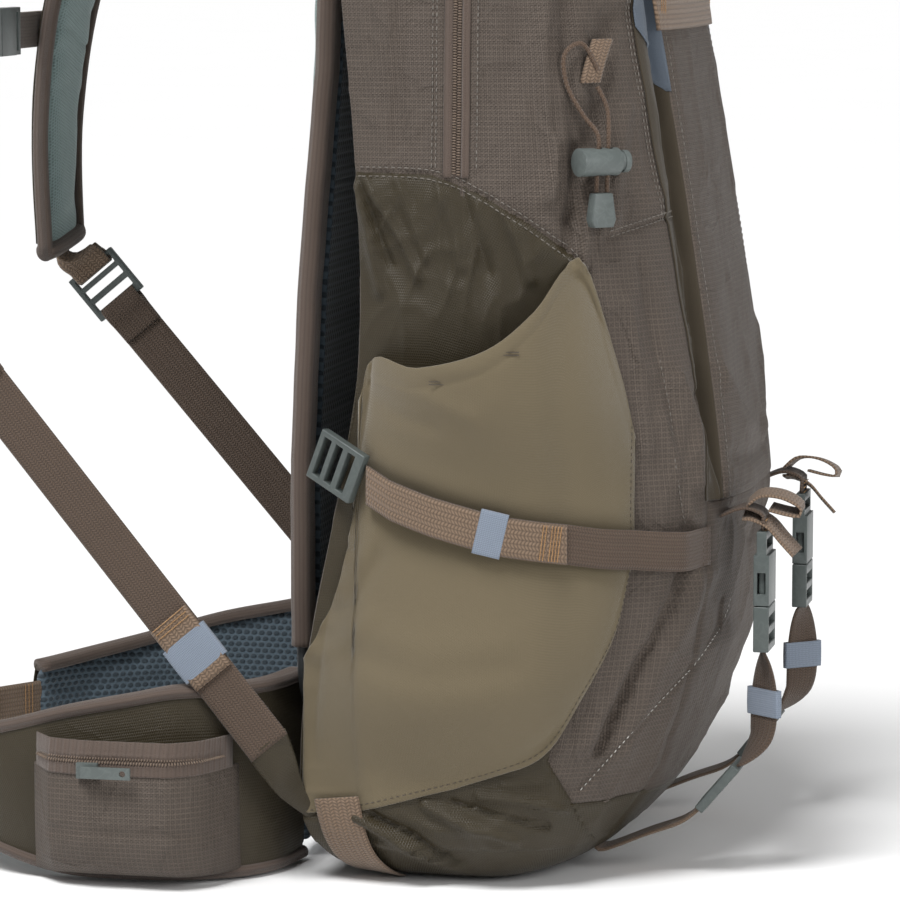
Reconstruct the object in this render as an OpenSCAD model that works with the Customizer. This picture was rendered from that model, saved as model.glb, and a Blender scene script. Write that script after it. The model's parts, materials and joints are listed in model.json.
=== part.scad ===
// Day pack with a suspended mesh back, side pockets, a front stuff pocket and a padded hip belt.
// Origin: middle of the flat resting area under the base. +Z up, -Y the outer front face, +Y the wearer.

/* [Bag body] */
// Widest width of the bag
bag_w = 296; // [240:2:360]
// Height of the bag's rim, where the lid starts
rim_z = 600; // [520:5:720]
// Depth from the side line to the front at the belly
bag_front = 132; // [110:1:160]
// Height of the belly, where the front stands out furthest
belly_z = 190; // [150:5:230]
// Rounding between the base and the sides
base_r = 42; // [25:1:50]
// Half of the flat resting area, front to back
rest_front = 30; // [20:1:40]
// How far the front leans back between belly and rim
front_lean = 70; // [50:1:80]
// How far each side draws in at the rim
side_taper = 14; // [0:1:20]
// Fabric wall with its lining
cloth = 1.6; // [1:0.1:2.2]

/* [Back and frame] */
// Depth of the back wall at the lumbar shelf
shelf_y = 82; // [76:1:90]
// Depth of the back wall where it bows away from the wearer
waist_y = 50; // [44:1:56]
// Depth of the back wall at the rim
top_y = 66; // [62:1:68]
// Radius of the frame hoop's rod
rod_r = 3; // [2.5:0.1:3.2]
// Half width of the frame hoop
hoop_hw = 112; // [100:1:116]
// Height of the hoop's lower bar
hoop_low = 78; // [74:1:84]
// Thickness of the mesh pad
mesh_t = 11; // [8:0.5:13]

/* [Lid] */
// Height of the lid above the rim
lid_h = 42; // [30:1:60]

/* [Side pockets] */
// How far the pocket's mouth stands out from the side
mouth_out = 36; // [24:1:40]
// Height of the mouth at the rear
mouth_z = 267; // [255:1:275]

/* [Front pocket] */
// Depth of the stuff pocket
stuff_d = 20; // [14:1:24]
// Height of the stuff pocket's mouth
stuff_top = 520; // [490:5:540]
// Height of the stuff pocket's bottom seam
stuff_low = 196; // [185:1:205]
// Half width between the two front seams
seam_x = 90; // [80:1:96]

/* [Webbing] */
// Width of the shoulder webbing
web_w = 25; // [20:1:28]
// Width of the side and stow webbing
thin_w = 20; // [15:1:22]
// Thickness of all webbing
web_t = 1.6; // [1.2:0.1:2]

/* [Hip belt] */
// Height of the wing at its root
wing_h = 98; // [80:1:104]
// Thickness of the padded wing
wing_t = 12; // [8:1:14]
// Depth of the hip-belt pocket
hip_pocket_d = 26; // [18:1:30]

/* [Tool cord] */
// Diameter of the elastic cord
cord_d = 2.4; // [2:0.1:3]

/* [Hidden] */

ripstop = [0.35, 0.31, 0.28];
satin = [0.29, 0.27, 0.2];
stretch = [0.48, 0.43, 0.35];
webbing = [0.47, 0.37, 0.28];
plastic = [0.43, 0.46, 0.45];
elastic = [0.51, 0.57, 0.63];
dark_mesh = [0.2, 0.24, 0.27];

gap = 0.3;
bow_n = 2.8;
lean_p = 1.2;
taper_z = 350;
shelf_z = 60;
waist_z = 300;
top_back_z = 550;
base_top = 44;

// ---------- the bag's surface ----------
function clamp01(v) = min(1, max(0, v));
function ease(v) = pow(sin(90 * clamp01(v)), 2);
function round_in(z) = base_r - sqrt(base_r * base_r - pow(base_r - min(z, base_r), 2));
function half_w(z) = bag_w / 2 - round_in(z) - side_taper * clamp01((z - taper_z) / (rim_z - taper_z));
function front_y(z) = z < belly_z
    ? rest_front + (bag_front - rest_front) * sqrt(1 - pow(1 - z / belly_z, 2))
    : bag_front - front_lean * pow((z - belly_z) / (rim_z - belly_z), lean_p);
function back_y(z) = z < shelf_z ? shelf_y - round_in(z)
    : z < waist_z ? waist_y + (shelf_y - waist_y) * ease((waist_z - z) / (waist_z - shelf_z))
    : waist_y + (top_y - waist_y) * ease((z - waist_z) / (top_back_z - waist_z));

// Left side point at depth y, height z and offset o outwards.
function side_x(y, z, o) = y >= 0
    ? -(half_w(z) + o) * (1 - 0.04 * pow(y / back_y(z), 2))
    : -(half_w(z) + o) * pow(max(0, 1 - pow(-y / (front_y(z) + o), bow_n)), 1 / bow_n);
function on_side(y, z, o) = [side_x(y, z, o), y, z];
// Front point at width x, height z and offset o outwards.
function on_front(x, z, o) = [x, -(front_y(z) + o)
    * pow(max(0, 1 - pow(abs(x) / (half_w(z) + o), bow_n)), 1 / bow_n), z];
function seam_t(z) = acos(pow(seam_x / half_w(z), bow_n / 2));
function corner(z, t, o) = [-(half_w(z) + o) * pow(cos(t), 2 / bow_n),
    -(front_y(z) + o) * pow(sin(t), 2 / bow_n), z];
function mirror_x(p) = [-p[0], p[1], p[2]];
function reverse(v) = [for (i = [len(v) - 1:-1:0]) v[i]];

// One level of the bag all round, from the left rear corner past the front.
function half_ring(z, o) = concat(
    [for (k = [0:3]) on_side((back_y(z) + o) * (1 - k / 4), z, o)],
    [for (t = [0, 22, 38, 52, 66, 80]) corner(z, t, o)]);
function ring(z, o) = concat(half_ring(z, o), reverse([for (p = half_ring(z, o)) mirror_x(p)]));

// ---------- solids from points ----------
function flat(v) = [for (r = v) each r];
function turned(tris, yes) = yes ? [for (f = tris) [f[0], f[2], f[1]]] : tris;

// Closed cloth between an outer grid a and an inner grid b.
module cloth_patch(a, b) {
    m = len(a);
    n = len(a[0]);
    k = m * n;
    outer = [for (i = [0:m - 2], j = [0:n - 2])
        each [[i * n + j, i * n + j + 1, (i + 1) * n + j + 1],
              [i * n + j, (i + 1) * n + j + 1, (i + 1) * n + j]]];
    inner = [for (f = outer) [f[0] + k, f[2] + k, f[1] + k]];
    loop = concat([for (j = [0:n - 1]) j], [for (i = [1:m - 1]) i * n + n - 1],
        [for (j = [n - 2:-1:0]) (m - 1) * n + j], [for (i = [m - 2:-1:0]) i * n]);
    rim = [for (q = [0:len(loop) - 2])
        each [[loop[q + 1], loop[q], loop[q] + k], [loop[q + 1], loop[q] + k, loop[q + 1] + k]]];
    ci = floor((m - 1) / 2);
    cj = floor((n - 1) / 2);
    facing = cross(a[ci][cj + 1] - a[ci][cj], a[ci + 1][cj] - a[ci][cj]) * (a[ci][cj] - b[ci][cj]);
    polyhedron(concat(flat(a), flat(b)), turned(concat(outer, inner, rim), facing > 0));
}

// Stack of closed rings with a flat cap at each end; rings run one way round.
module loft(rings, turn = false) {
    n = len(rings[0]);
    m = len(rings);
    walls = [for (i = [0:m - 2], j = [0:n - 1])
        each [[i * n + j, i * n + (j + 1) % n, (i + 1) * n + (j + 1) % n],
              [i * n + j, (i + 1) * n + (j + 1) % n, (i + 1) * n + j]]];
    first = rings[0];
    last = rings[m - 1];
    mid_a = m * n;
    caps = [for (j = [0:n - 1]) each [[mid_a, (j + 1) % n, j],
        [mid_a + 1, (m - 1) * n + j, (m - 1) * n + (j + 1) % n]]];
    pts = concat(flat(rings), [mean(first), mean(last)]);
    polyhedron(pts, turned(concat(walls, caps), turn));
}
function mean(v) = [for (c = [0:2]) [for (p = v) p[c]] * [for (p = v) 1 / len(v)]];

// Tangent, and a ribbon along a path: w wide along the side directions, t thick.
function unit(v) = v / norm(v);
function along(p, i) = unit(p[min(i + 1, len(p) - 1)] - p[max(i - 1, 0)]);
module ribbon(path, side, w, t) {
    n = [for (i = [0:len(path) - 1]) unit(cross(along(path, i), side[i]))];
    s = [for (i = [0:len(path) - 1]) unit(cross(n[i], along(path, i)))];
    cloth_patch(
        [for (i = [0:len(path) - 1]) [for (k = [-0.5, 0.5]) path[i] + s[i] * w * k + n[i] * t / 2]],
        [for (i = [0:len(path) - 1]) [for (k = [-0.5, 0.5]) path[i] + s[i] * w * k - n[i] * t / 2]]);
}
module strap(path, side, w, t = web_t) ribbon(path, [for (p = path) side], w, t);

// Tube along hand-chosen points.
module cord(path, r, sides = 8) {
    frame = [for (i = [0:len(path) - 1]) let (d = along(path, i),
        u = unit(cross(d, abs(d[0]) < 0.8 ? [1, 0, 0] : [0, 0, 1]))) [u, cross(d, u)]];
    loft([for (i = [0:len(path) - 1]) [for (k = [0:sides - 1])
        path[i] + r * (frame[i][0] * cos(360 * k / sides) + frame[i][1] * sin(360 * k / sides))]], true);
}
// Smooth points through a few chosen ones.
function bend(p, steps) = [for (i = [0:len(p) - 2], k = [0:steps - 1]) let (u = k / steps,
    a = p[max(i - 1, 0)], b = p[i], c = p[i + 1], d = p[min(i + 2, len(p) - 1)])
    0.5 * ((2 * b) + (c - a) * u + (2 * a - 5 * b + 4 * c - d) * u * u
        + (3 * b - a - 3 * c + d) * u * u * u)];
function smooth(p, steps) = concat(bend(p, steps), [p[len(p) - 1]]);
module right() mirror([1, 0, 0]) children();

// ---------- bag body ----------
wall_z = [base_top, 70, 100, 135, 170, stuff_low, 216, 245, 300, 360, 430, 510, 556, rim_z];
function side_row(z, o) = concat(
    [for (k = [4:-1:1]) on_side(back_y(z) * k / 4, z, o)],
    [for (k = [0:5]) corner(z, seam_t(z) * k / 5, o)]);
module side_panel() color(ripstop)
    cloth_patch([for (z = wall_z) side_row(z, 0)], [for (z = wall_z) side_row(z, -cloth)]);

// The front wall sits back behind the stuff pocket.
function set_back(z) = stuff_d * ease((z - stuff_low) / 42) * ease((stuff_top + 36 - z) / 42);
function front_row(z, o) = let (s = seam_t(z)) [for (k = [0:12]) let (t = s + (180 - 2 * s) * k / 12,
    o2 = o - set_back(z) * min(1, min(k, 12 - k)),
    c = corner(z, min(t, 180 - t), o2)) t > 90 ? mirror_x(c) : c];
module front_panel() color(ripstop)
    cloth_patch([for (z = wall_z) front_row(z, 0)], [for (z = wall_z) front_row(z, -cloth)]);

function back_row(z, y_off) = [for (k = [-4:4]) let (x = k / 4 * (half_w(z) * 0.96 - cloth))
    [x, back_y(z) + y_off, z]];
module back_panel() color(satin)
    cloth_patch([for (z = wall_z) back_row(z, 0)], [for (z = wall_z) back_row(z, -cloth)]);

base_z = [0, 2.5, 7, 15, 28, base_top];
function shrink(v, f) = [for (p = v) [p[0] * f, p[1] * f, p[2]]];
module base_panel() color(satin) loft(concat([shrink(ring(0, -1), 0.4)], [for (z = base_z) ring(z, 0)],
    [for (z = reverse(base_z)) [for (p = ring(z, -cloth)) [p[0], p[1], max(p[2], cloth)]]],
    [[for (p = shrink(ring(0, -cloth), 0.4)) [p[0], p[1], cloth]]]));

// ---------- lid ----------
hinge_y = top_y - 2;
module lid() {
    steps = [0, 0.35, 0.65, 0.88, 1];
    function level(u, o) = let (f = sqrt(1 - 0.8 * u * u), z = rim_z + gap + u * (lid_h + o))
        [for (p = ring(rim_z, o)) [p[0] * f, p[1] * f, z]];
    color(ripstop) loft(concat([for (u = reverse(steps)) level(u, -2)], [for (u = steps) level(u, 0)]));
}
zip_h = 16;
zip_o = 1;
function tail(v, k) = [for (i = [k:len(v) - 1]) v[i]];
function lid_zip_row(z, o) = let (f = front_row(z, o)) concat(tail(side_row(z, o), 1),
    [for (i = [1:len(f) - 2]) f[i]], reverse([for (p = tail(side_row(z, o), 1)) mirror_x(p)]));
zip_rows = [rim_z - zip_h, rim_z - 2];
module lid_zip() color(webbing)
    cloth_patch([for (z = zip_rows) lid_zip_row(z, zip_o + gap)], [for (z = zip_rows) lid_zip_row(z, gap)]);

// Zip slider: cap over the teeth with a bridge and a hanging pull. Slides along local Z, faces -Y.
module zip_slider() {
    color(plastic) {
        translate([-4, -3.4, -5.5]) cube([8, 3, 11]);
        translate([-1.4, -6.2, -4]) cube([2.8, 2.8, 8]);
        difference() {
            translate([-3, -8, -24]) cube([6, 1.6, 26]);
            translate([0, -5, -20]) rotate([90, 0, 0]) cylinder(h = 5, r = 1.6, $fn = 24);
        }
        translate([-2, -6.4, -3]) cube([4, 1, 3]);
    }
}
module lid_zip_slider() translate([0, -(front_y(rim_z - zip_h / 2) + zip_o + gap + 0.8), rim_z - zip_h / 2])
    rotate([0, 90, 0]) zip_slider();

// ---------- front stuff pocket ----------
stuff_z = [stuff_low, 225, 260, 300, 345, 395, 445, 485, stuff_top];
stuff_x = seam_x - 12;
stuff_o = 0.7;
function stuff_row(z, o) = [for (k = [-6:6]) on_front(stuff_x * k / 6, z, o)];
module stuff_pocket() color(ripstop)
    cloth_patch([for (z = stuff_z) stuff_row(z, stuff_o + cloth)], [for (z = stuff_z) stuff_row(z, stuff_o)]);
// Stretch side of the pocket: from the side seam forward, folded in, out to the panel's edge.
function gusset_row(z, o) = let (a = corner(z, seam_t(z), o + cloth + stuff_o + 0.4) + [0.6, 0, 0],
    b = on_front(-stuff_x, z, o + cloth + stuff_o) - [0.5, 0, 0])
    [a, a * 0.5 + b * 0.5 + [1, 2.5, 0] * set_back(z) / stuff_d, b];
module stuff_gusset() color(stretch)
    cloth_patch([for (z = stuff_z) gusset_row(z, 0)], [for (z = stuff_z) gusset_row(z, -cloth)]);
corner_h = 42;
function corner_grid(o) = [for (u = [0, 0.5, 1]) [for (x = [-stuff_x, -stuff_x + 4 + 22 * u])
    on_front(x, stuff_top - corner_h * (1 - u), stuff_o + cloth + o)]];
module stuff_corner() color(elastic) cloth_patch(corner_grid(0.9 + cloth), corner_grid(0.8));

// ---------- side pockets ----------
// Depth stations from the front edge to the rear, with the pocket's lowest and highest point there.
pocket_y = [-88, -80, -62, -45, -22, 14, 46, 52, 60, 70, 80];
pocket_low = [178, 135, 98, 72, 61, 50, 41, 40, 39, 38, 37];
pocket_high = [232, 268, 322, 298, mouth_z + 12, mouth_z + 2, mouth_z, 200, 158, 134, 116];
pocket_mid_z = 205;
function pocket_front(z) = -88 * sqrt(max(0, 1 - pow((z - pocket_mid_z) / 148, 2)));
function pocket_out(y, z) = let (u = clamp01((y - pocket_front(z)) / (back_y(z) - 8 - pocket_front(z))),
    w = pow(sin(180 * u), 0.75), low = ease((z - 45) / 70),
    cinch = 1 - 0.55 * pow(sin(90 * clamp01((z - 90) / 95)), 2) * pow(cos(90 * clamp01((z - 185) / 75)), 2))
    1.2 + (mouth_out - 12 + 12 * clamp01((z - 190) / 80)) * w * low * cinch;
pocket_steps = 9;
function pocket_col(i, o) = [for (k = [0:pocket_steps]) let (y = pocket_y[i],
    z = pocket_low[i] + (pocket_high[i] - pocket_low[i]) * k / pocket_steps)
    on_side(y, z, pocket_out(y, z) + o)];
function pocket_grid(o) = [for (i = [0:len(pocket_y) - 1]) pocket_col(i, o)];
module side_pocket() color(stretch) cloth_patch(pocket_grid(cloth), pocket_grid(0));

// ---------- side zip ----------
zip_low = 362;
zip_high = 560;
zip_hw = 9;
zip_stations = [for (k = [0:6]) zip_low + (zip_high - zip_low) * k / 6];
module side_zip() color(webbing) cloth_patch(
    [for (z = zip_stations) [for (y = [-zip_hw, 0, zip_hw]) on_side(y, z, 1.4)]],
    [for (z = zip_stations) [for (y = [-zip_hw, 0, zip_hw]) on_side(y, z, gap)]]);
side_slider_z = 540;
module side_zip_slider() translate([side_x(0, side_slider_z, 1.4) - gap, 0, side_slider_z])
    rotate([0, atan(side_taper / (rim_z - taper_z)), 0]) rotate([0, 0, -90]) zip_slider();

// ---------- frame, mesh and pads ----------
mesh_back = [[hoop_low, 88], [130, 88.5], [214, 88.5], [300, 84.5], [413, 76], [500, 74], [585, 75]];
function table(t, z) = z <= t[0][0] ? t[0][1] : z >= t[len(t) - 1][0] ? t[len(t) - 1][1]
    : [for (i = [0:len(t) - 2]) if (z >= t[i][0] && z < t[i + 1][0])
        t[i][1] + (t[i + 1][1] - t[i][1]) * (z - t[i][0]) / (t[i + 1][0] - t[i][0])][0];
function hoop_y(z) = table(mesh_back, z);
hoop_top = 585;
hoop_corner = 34;
function hoop_pt(x, z) = [x, hoop_y(z), z];
hoop_in = 8;
hoop_side = [for (z = [130, 175, 214, 257, 300, 356, 413, 457, 500])
    hoop_pt(-hoop_hw + hoop_in * ease((z - 300) / 200), z)];
hoop_half = concat([hoop_pt(0, hoop_low), hoop_pt(-hoop_hw * 0.5, hoop_low)],
    [for (a = [0, 30, 60, 90]) hoop_pt(-hoop_hw + hoop_corner * (1 - sin(a)),
        hoop_low + hoop_corner * (1 - cos(a)))], hoop_side,
    [for (a = [30, 60, 90]) hoop_pt(-hoop_hw + hoop_in + hoop_corner * (1 - cos(a)),
        hoop_top - hoop_corner * (1 - sin(a)))]);
module frame_hoop() color(plastic) cord(concat(hoop_half, [hoop_pt(0, hoop_top)],
    [for (i = [len(hoop_half) - 1:-1:1]) mirror_x(hoop_half[i])], [hoop_pt(0.3, hoop_low)]), rod_r);
// Anchor block between the back wall and the rod, with a round seat for the rod.
module anchor(x, wall_y, z) {
    reach = hoop_y(z) - wall_y;
    translate([x - 14, wall_y + gap, z - 8]) difference() {
        cube([28, reach, 16]);
        translate([-1, reach - gap, 8]) rotate([0, 90, 0]) cylinder(h = 30, r = rod_r + 0.25, $fn = 48);
    }
}
module frame_anchors() color(plastic) for (x = [-50, 50]) {
    anchor(x, shelf_y, hoop_low);
    anchor(x, top_y, hoop_top);
}
sheet_z = [for (z = wall_z) if (z > 60 && z < rim_z - 60) z];
module frame_sheet() color(dark_mesh) cloth_patch(
    [for (z = sheet_z) [for (x = [-100, 0, 100]) [x, back_y(z) - cloth - gap, z]]],
    [for (z = sheet_z) [for (x = [-100, 0, 100]) [x, back_y(z) - cloth - gap - 1.5, z]]]);
mesh_z = [116, 150, 190, 240, 300, 360, 420, 480, 540];
mesh_hw = hoop_hw - 18;
function mesh_row(z, o) = [for (k = [-3:3])
    [mesh_hw * k / 3, hoop_y(z) + rod_r + gap + o * (1 - pow(k / 3.4, 4)), z]];
module mesh_pad() color(dark_mesh)
    cloth_patch([for (z = mesh_z) mesh_row(z, mesh_t)], [for (z = mesh_z) mesh_row(z, 0)]);
module spacer_mesh() color(dark_mesh) cloth_patch(
    [for (z = mesh_z) [for (k = [-3:3]) [mesh_hw * k / 3, hoop_y(z) + rod_r, z]]],
    [for (z = mesh_z) [for (k = [-3:3]) [mesh_hw * k / 3, hoop_y(z) - rod_r + 1, z]]]);
bind_w = 13;
function bind_grid(s, t) = [for (p = hoop_side) [for (x = [p[0] - bind_w / 2, -mesh_hw - 0.5])
    [s * x, p[1] + rod_r + gap + t, p[2]]]];
module mesh_binding() color(webbing) for (s = [-1, 1]) cloth_patch(bind_grid(s, 1.8), bind_grid(s, 0));
lumbar_y = hoop_y(hoop_low) + rod_r + gap;
lumbar_t = 12;
lumbar_hw = 84;
function lumbar_grid(t) = [for (z = [6, 30, 60, 90, 112]) [for (k = [-1, -0.6, 0, 0.6, 1])
    [lumbar_hw * k, lumbar_y + t * (1 - 0.25 * k * k), z]]];
module lumbar_pad() color(dark_mesh) cloth_patch(lumbar_grid(lumbar_t), lumbar_grid(0));

// ---------- hip belt ----------
wing_x = bag_w / 2 + 6;
root_x = 85;
wing_path = smooth([[-root_x, lumbar_y + 6, 0], [-118, 104, 0], [-wing_x + 16, 118, 0], [-wing_x + 3, 142, 0],
    [-wing_x, 165, 0], [-wing_x, 205, 0], [-wing_x + 8, 240, 0], [-wing_x + 32, 275, 0],
    [-wing_x + 60, 296, 0]], 3);
function wing_low(u) = 2 + 24 * ease((u - 0.55) / 0.45);
function wing_top(u) = 2 + wing_h - 34 * ease((u - 0.35) / 0.65);
function side_dir(p, i) = let (d = along(p, i)) unit([d[1], -d[0], 0]);
function wing_col(i, o) = let (n = len(wing_path) - 1, u = i / n) [for (k = [0:4]) wing_path[i]
    + side_dir(wing_path, i) * o * (0.55 + 0.45 * sin(180 * k / 4))
    + [0, 0, wing_low(u) + (wing_top(u) - wing_low(u)) * k / 4]];
function wing_grid(o) = [for (i = [0:len(wing_path) - 1]) wing_col(i, o)];
module hip_wing() color(satin) cloth_patch(wing_grid(wing_t / 2), wing_grid(-wing_t / 2));
hp_y = [114, 126, 142, 160, 185, 205, 218];
hp_top = 86;
hp_low = 5;
// Pocket wall: out from the wing below, up, open along the top behind the zip.
hp_bulge = [0.15, 0.75, 1, 1, 1, 0.8, 0.15];
function hp_pt(i, a, o) = let (x0 = wing_outer_x(hp_y[i]) - gap,
    d = max(1.8, (hip_pocket_d + o) * hp_bulge[i]),
    h = (hp_top - hp_low) / 2 + o / 2) [x0 - d * pow(abs(sin(a)), 0.6), hp_y[i], hp_low + h + (-h) * cos(a)];
function wing_outer_x(y) = let (q = [for (p = wing_path) if (p[1] >= y) p]) -wing_x - wing_t / 2
    + 30 * pow(clamp01((142 - y) / 34), 2) + 12 * pow(clamp01((y - 195) / 45), 2);
module hip_pocket() color(ripstop) cloth_patch(
    [for (i = [0:len(hp_y) - 1]) [for (a = [0, 20, 50, 85, 115, 140]) hp_pt(i, a, 0)]],
    [for (i = [0:len(hp_y) - 1]) [for (a = [0, 20, 50, 85, 115, 140]) hp_pt(i, a, -1.5)]]);
hip_slider_y = 182;
module hip_zip_slider() translate([hp_pt(3, 115, 0)[0] - gap, hip_slider_y, hp_pt(3, 115, 0)[2]])
    rotate([-90, 0, 0]) rotate([0, 0, -90]) zip_slider();

// Side-release buckle along local X: female body with a socket, male half with two prongs.
buckle_h = 8;
female_l = 38;
male_l = 24;
module buckle_female(w) color(plastic) difference() {
    union() {
        translate([0, -w / 2 - 3, -buckle_h / 2]) cube([26, w + 6, buckle_h]);
        translate([26, -w / 2 - 3, -2.5]) cube([female_l - 26, w + 6, 5]);
    }
    translate([-1, -w / 2 - 0.5, -buckle_h / 2 + 1.8]) cube([23, w + 1, buckle_h - 3.6]);
    translate([6, -w / 2 - 4, -buckle_h / 2 + 1.8]) cube([11, w + 8, buckle_h - 3.6]);
    translate([29, -w / 2 - 0.5, -3]) cube([5, w + 1, 6]);
}
module buckle_male(w) color(plastic) {
    difference() {
        translate([-male_l, -w / 2 - 3, -buckle_h / 2]) cube([male_l - 0.5, w + 6, buckle_h]);
        translate([-30, -w / 2 - 1, -web_t / 2 - 0.6]) cube([26, w + 2, web_t + 1.2]);
        translate([-20, -w / 2 - 1, -5]) cube([5, w + 2, 10]);
        translate([-11, -w / 2 - 1, -5]) cube([5, w + 2, 10]);
    }
    translate([-1, -2.5, -1.6]) cube([19, 5, 3.2]);
    for (s = [-1, 1]) translate([-1, s * (w / 2 - 2) - 2, -1.6]) cube([18, 4, 3.2]);
}
// Ladder lock: a frame with three bars that the webbing threads round; its hinge bar is at the origin.
module ladder_lock(w) color(plastic) difference() {
    translate([-3, -w / 2 - 3.5, -2.5]) cube([30, w + 7, 5]);
    for (x = [2.5, 11, 19]) translate([x, -w / 2 - 0.5, -4]) cube([5, w + 1, 8]);
}
// Folded elastic keeper round a strap that runs along local X.
module keeper(w, len = 16) color(elastic) difference() {
    translate([-len / 2, -w / 2 - 1.8, -web_t / 2 - 1.7]) cube([len, w + 3.6, web_t + 3.4]);
    translate([-len, -w / 2 - 0.6, -web_t / 2 - 0.6]) cube([2 * len, w + 1.2, web_t + 1.2]);
}

// Hip strap: straight from the wing's tip, level, towards the middle.
tip = wing_path[len(wing_path) - 1];
tip_z = (wing_low(1) + wing_top(1)) / 2;
strap_dir = along(wing_path, len(wing_path) - 1);
strap_yaw = atan2(strap_dir[1], strap_dir[0]);
hip_strap_l = 30;
module hip_strap() color(webbing) translate([tip[0], tip[1], tip_z]) rotate([0, 0, strap_yaw])
    translate([gap, -web_t / 2, -thin_w / 2]) cube([hip_strap_l, web_t, thin_w]);
module at_hip_end(d) translate([tip[0], tip[1], tip_z]) rotate([0, 0, strap_yaw])
    translate([hip_strap_l + d, 0, 0]) rotate([90, 0, 0]) children();
module hip_buckle_male() at_hip_end(20) buckle_male(thin_w);
module hip_buckle_female() right() at_hip_end(2 * gap)
    mirror([1, 0, 0]) translate([-female_l, 0, 0]) buckle_female(thin_w);

// ---------- shoulder harness ----------
shoulder_w = 62;
shoulder_t = 14;
shoulder_path = smooth([[-56, 95.2, 528], [-58, 109, 566], [-62, 142, 586], [-70, 190, 574], [-80, 236, 525],
    [-92, 268, 450], [-108, 284, 375], [-124, 288, 305]], 3);
function shoulder_hw(u) = shoulder_w / 2 * (1 - 0.28 * ease((u - 0.5) / 0.5));
module shoulder_strap() color(satin) {
    n = len(shoulder_path) - 1;
    nrm = [for (i = [0:n]) unit(cross(along(shoulder_path, i), [1, 0.12, 0]))];
    sd = [for (i = [0:n]) unit(cross(nrm[i], along(shoulder_path, i)))];
    cloth_patch(
        [for (i = [0:n]) [for (k = [-2:2]) shoulder_path[i] + sd[i] * shoulder_hw(i / n) * k / 2
            + nrm[i] * shoulder_t / 2 * (1 - pow(k / 2.6, 4))]],
        [for (i = [0:n]) [for (k = [-2:2]) shoulder_path[i] + sd[i] * shoulder_hw(i / n) * k / 2
            - nrm[i] * shoulder_t / 2 * (1 - pow(k / 2.6, 4))]]);
}
// Lower webbing runs straight from its tab beside the base up to the shoulder strap's ladder lock.
web_foot = [-wing_x - 4, 94, 72];
web_head = [-wing_x + 8, 258, 268];
web_dir = unit(web_head - web_foot);
web_pitch = asin(web_dir[2]);
web_len = norm(web_head - web_foot);
module on_web(d) translate(web_foot) rotate([0, 0, atan2(web_dir[1], web_dir[0])]) rotate([0, -web_pitch, 0])
    translate([d, 0, 0]) children();
module lower_webbing() {
    color(webbing) on_web(0) rotate([90, 0, 0]) translate([0, -web_w / 2, -web_t / 2])
        cube([web_len, web_w, web_t]);
    strap_tab();
}
module shoulder_lock() on_web(web_len + 3 + gap) rotate([90, 0, 0]) ladder_lock(web_w);
module shoulder_keeper() on_web(62) rotate([90, 0, 0]) keeper(web_w, 20);
// Triangular tab that ties the foot of the webbing to the side seam.
module strap_tab() color(satin) {
    top = [web_foot[0] + web_t / 2 + 0.4, web_foot[1] + 9, web_foot[2] + 14];
    low = [web_foot[0] + 2, 84, 34];
    rear = [side_x(80, 66, 2), 80, 66];
    cloth_patch([[low, rear], [low * 0.3 + top * 0.7, rear * 0.3 + top * 0.7 + [0, -9, 2]]],
        [[low + [web_t, 0, 0], rear + [web_t, 0, 0]],
         [low * 0.3 + top * 0.7 + [web_t, 0, 0], rear * 0.3 + top * 0.7 + [web_t, -9, 2]]]);
}

// Sternum strap: two webbing halves hung on the shoulder straps' outer faces.
chest_z = 428;
chest_y = 286;
chest_x = 92;
module on_chest() translate([0, chest_y, chest_z]) rotate([90, 0, 0]) children();
module sternum_strap() color(webbing) {
    on_chest() translate([-chest_x, -thin_w / 2, -web_t / 2]) cube([chest_x - male_l, thin_w, web_t]);
    on_chest() translate([female_l + gap, -thin_w / 2, -web_t / 2])
        cube([chest_x - female_l - gap, thin_w, web_t]);
}
module sternum_buckle_female() on_chest() buckle_female(thin_w);
module sternum_buckle_male() on_chest() buckle_male(thin_w);

// Grab handle: webbing arch standing off the back wall, under the hoop's top bar.
handle_z = 563;
handle_w = 60;
handle_y = top_y + 1;
module grab_handle() color(webbing) strap(smooth([[-handle_w / 2, handle_y, handle_z],
    [-handle_w / 2 + 5, handle_y + 13, handle_z], [0, handle_y + 21, handle_z],
    [handle_w / 2 - 5, handle_y + 13, handle_z], [handle_w / 2, handle_y, handle_z]], 4), [0, 0, 1], 14, 2.4);

// ---------- side compression straps ----------
comp_path = [[44, 208], [30, 201], [8, 194], [-15, 188], [-28, 185], [-42, 183], [-58, 181], [-74, 178],
    [-90, 176], [-104, 174]];
comp_off = 4.6;
function comp_pt(q, dz, o) = let (y = q[0], z = q[1] + dz,
    p = max([for (d = [-12, 0, 12]) pocket_out(y, q[1] + d)]))
    on_side(y, z, p + comp_off + o);
module compression_strap() color(webbing) cloth_patch(
    [for (q = comp_path) [for (dz = [-thin_w / 2, thin_w / 2]) comp_pt(q, dz, web_t)]],
    [for (q = comp_path) [for (dz = [-thin_w / 2, thin_w / 2]) comp_pt(q, dz, 0)]]);
comp_head = comp_pt(comp_path[0], 0, 0);
comp_in = comp_head - comp_pt(comp_path[1], 0, 0);
comp_tilt = atan2(comp_in[2], norm([comp_in[0], comp_in[1]]));
comp_lock_at = comp_head + unit(comp_in) * 8 - [2.6, 0, 0];
module compression_lock() translate(comp_lock_at) rotate([0, 0, atan2(comp_in[1], comp_in[0])])
    rotate([0, -comp_tilt, 0]) rotate([-90, 0, 0]) ladder_lock(thin_w);
keep_a = comp_pt(comp_path[3], 0, web_t / 2);
keep_b = comp_pt(comp_path[4], 0, web_t / 2);
keep_d = keep_b - keep_a;
module compression_keeper() translate((keep_a + keep_b) / 2) rotate([0, 0, atan2(keep_d[1], keep_d[0])])
    rotate([0, atan2(-keep_d[2], norm([keep_d[0], keep_d[1]])), 0]) rotate([90, 0, 0]) keeper(thin_w, 14);

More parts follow.
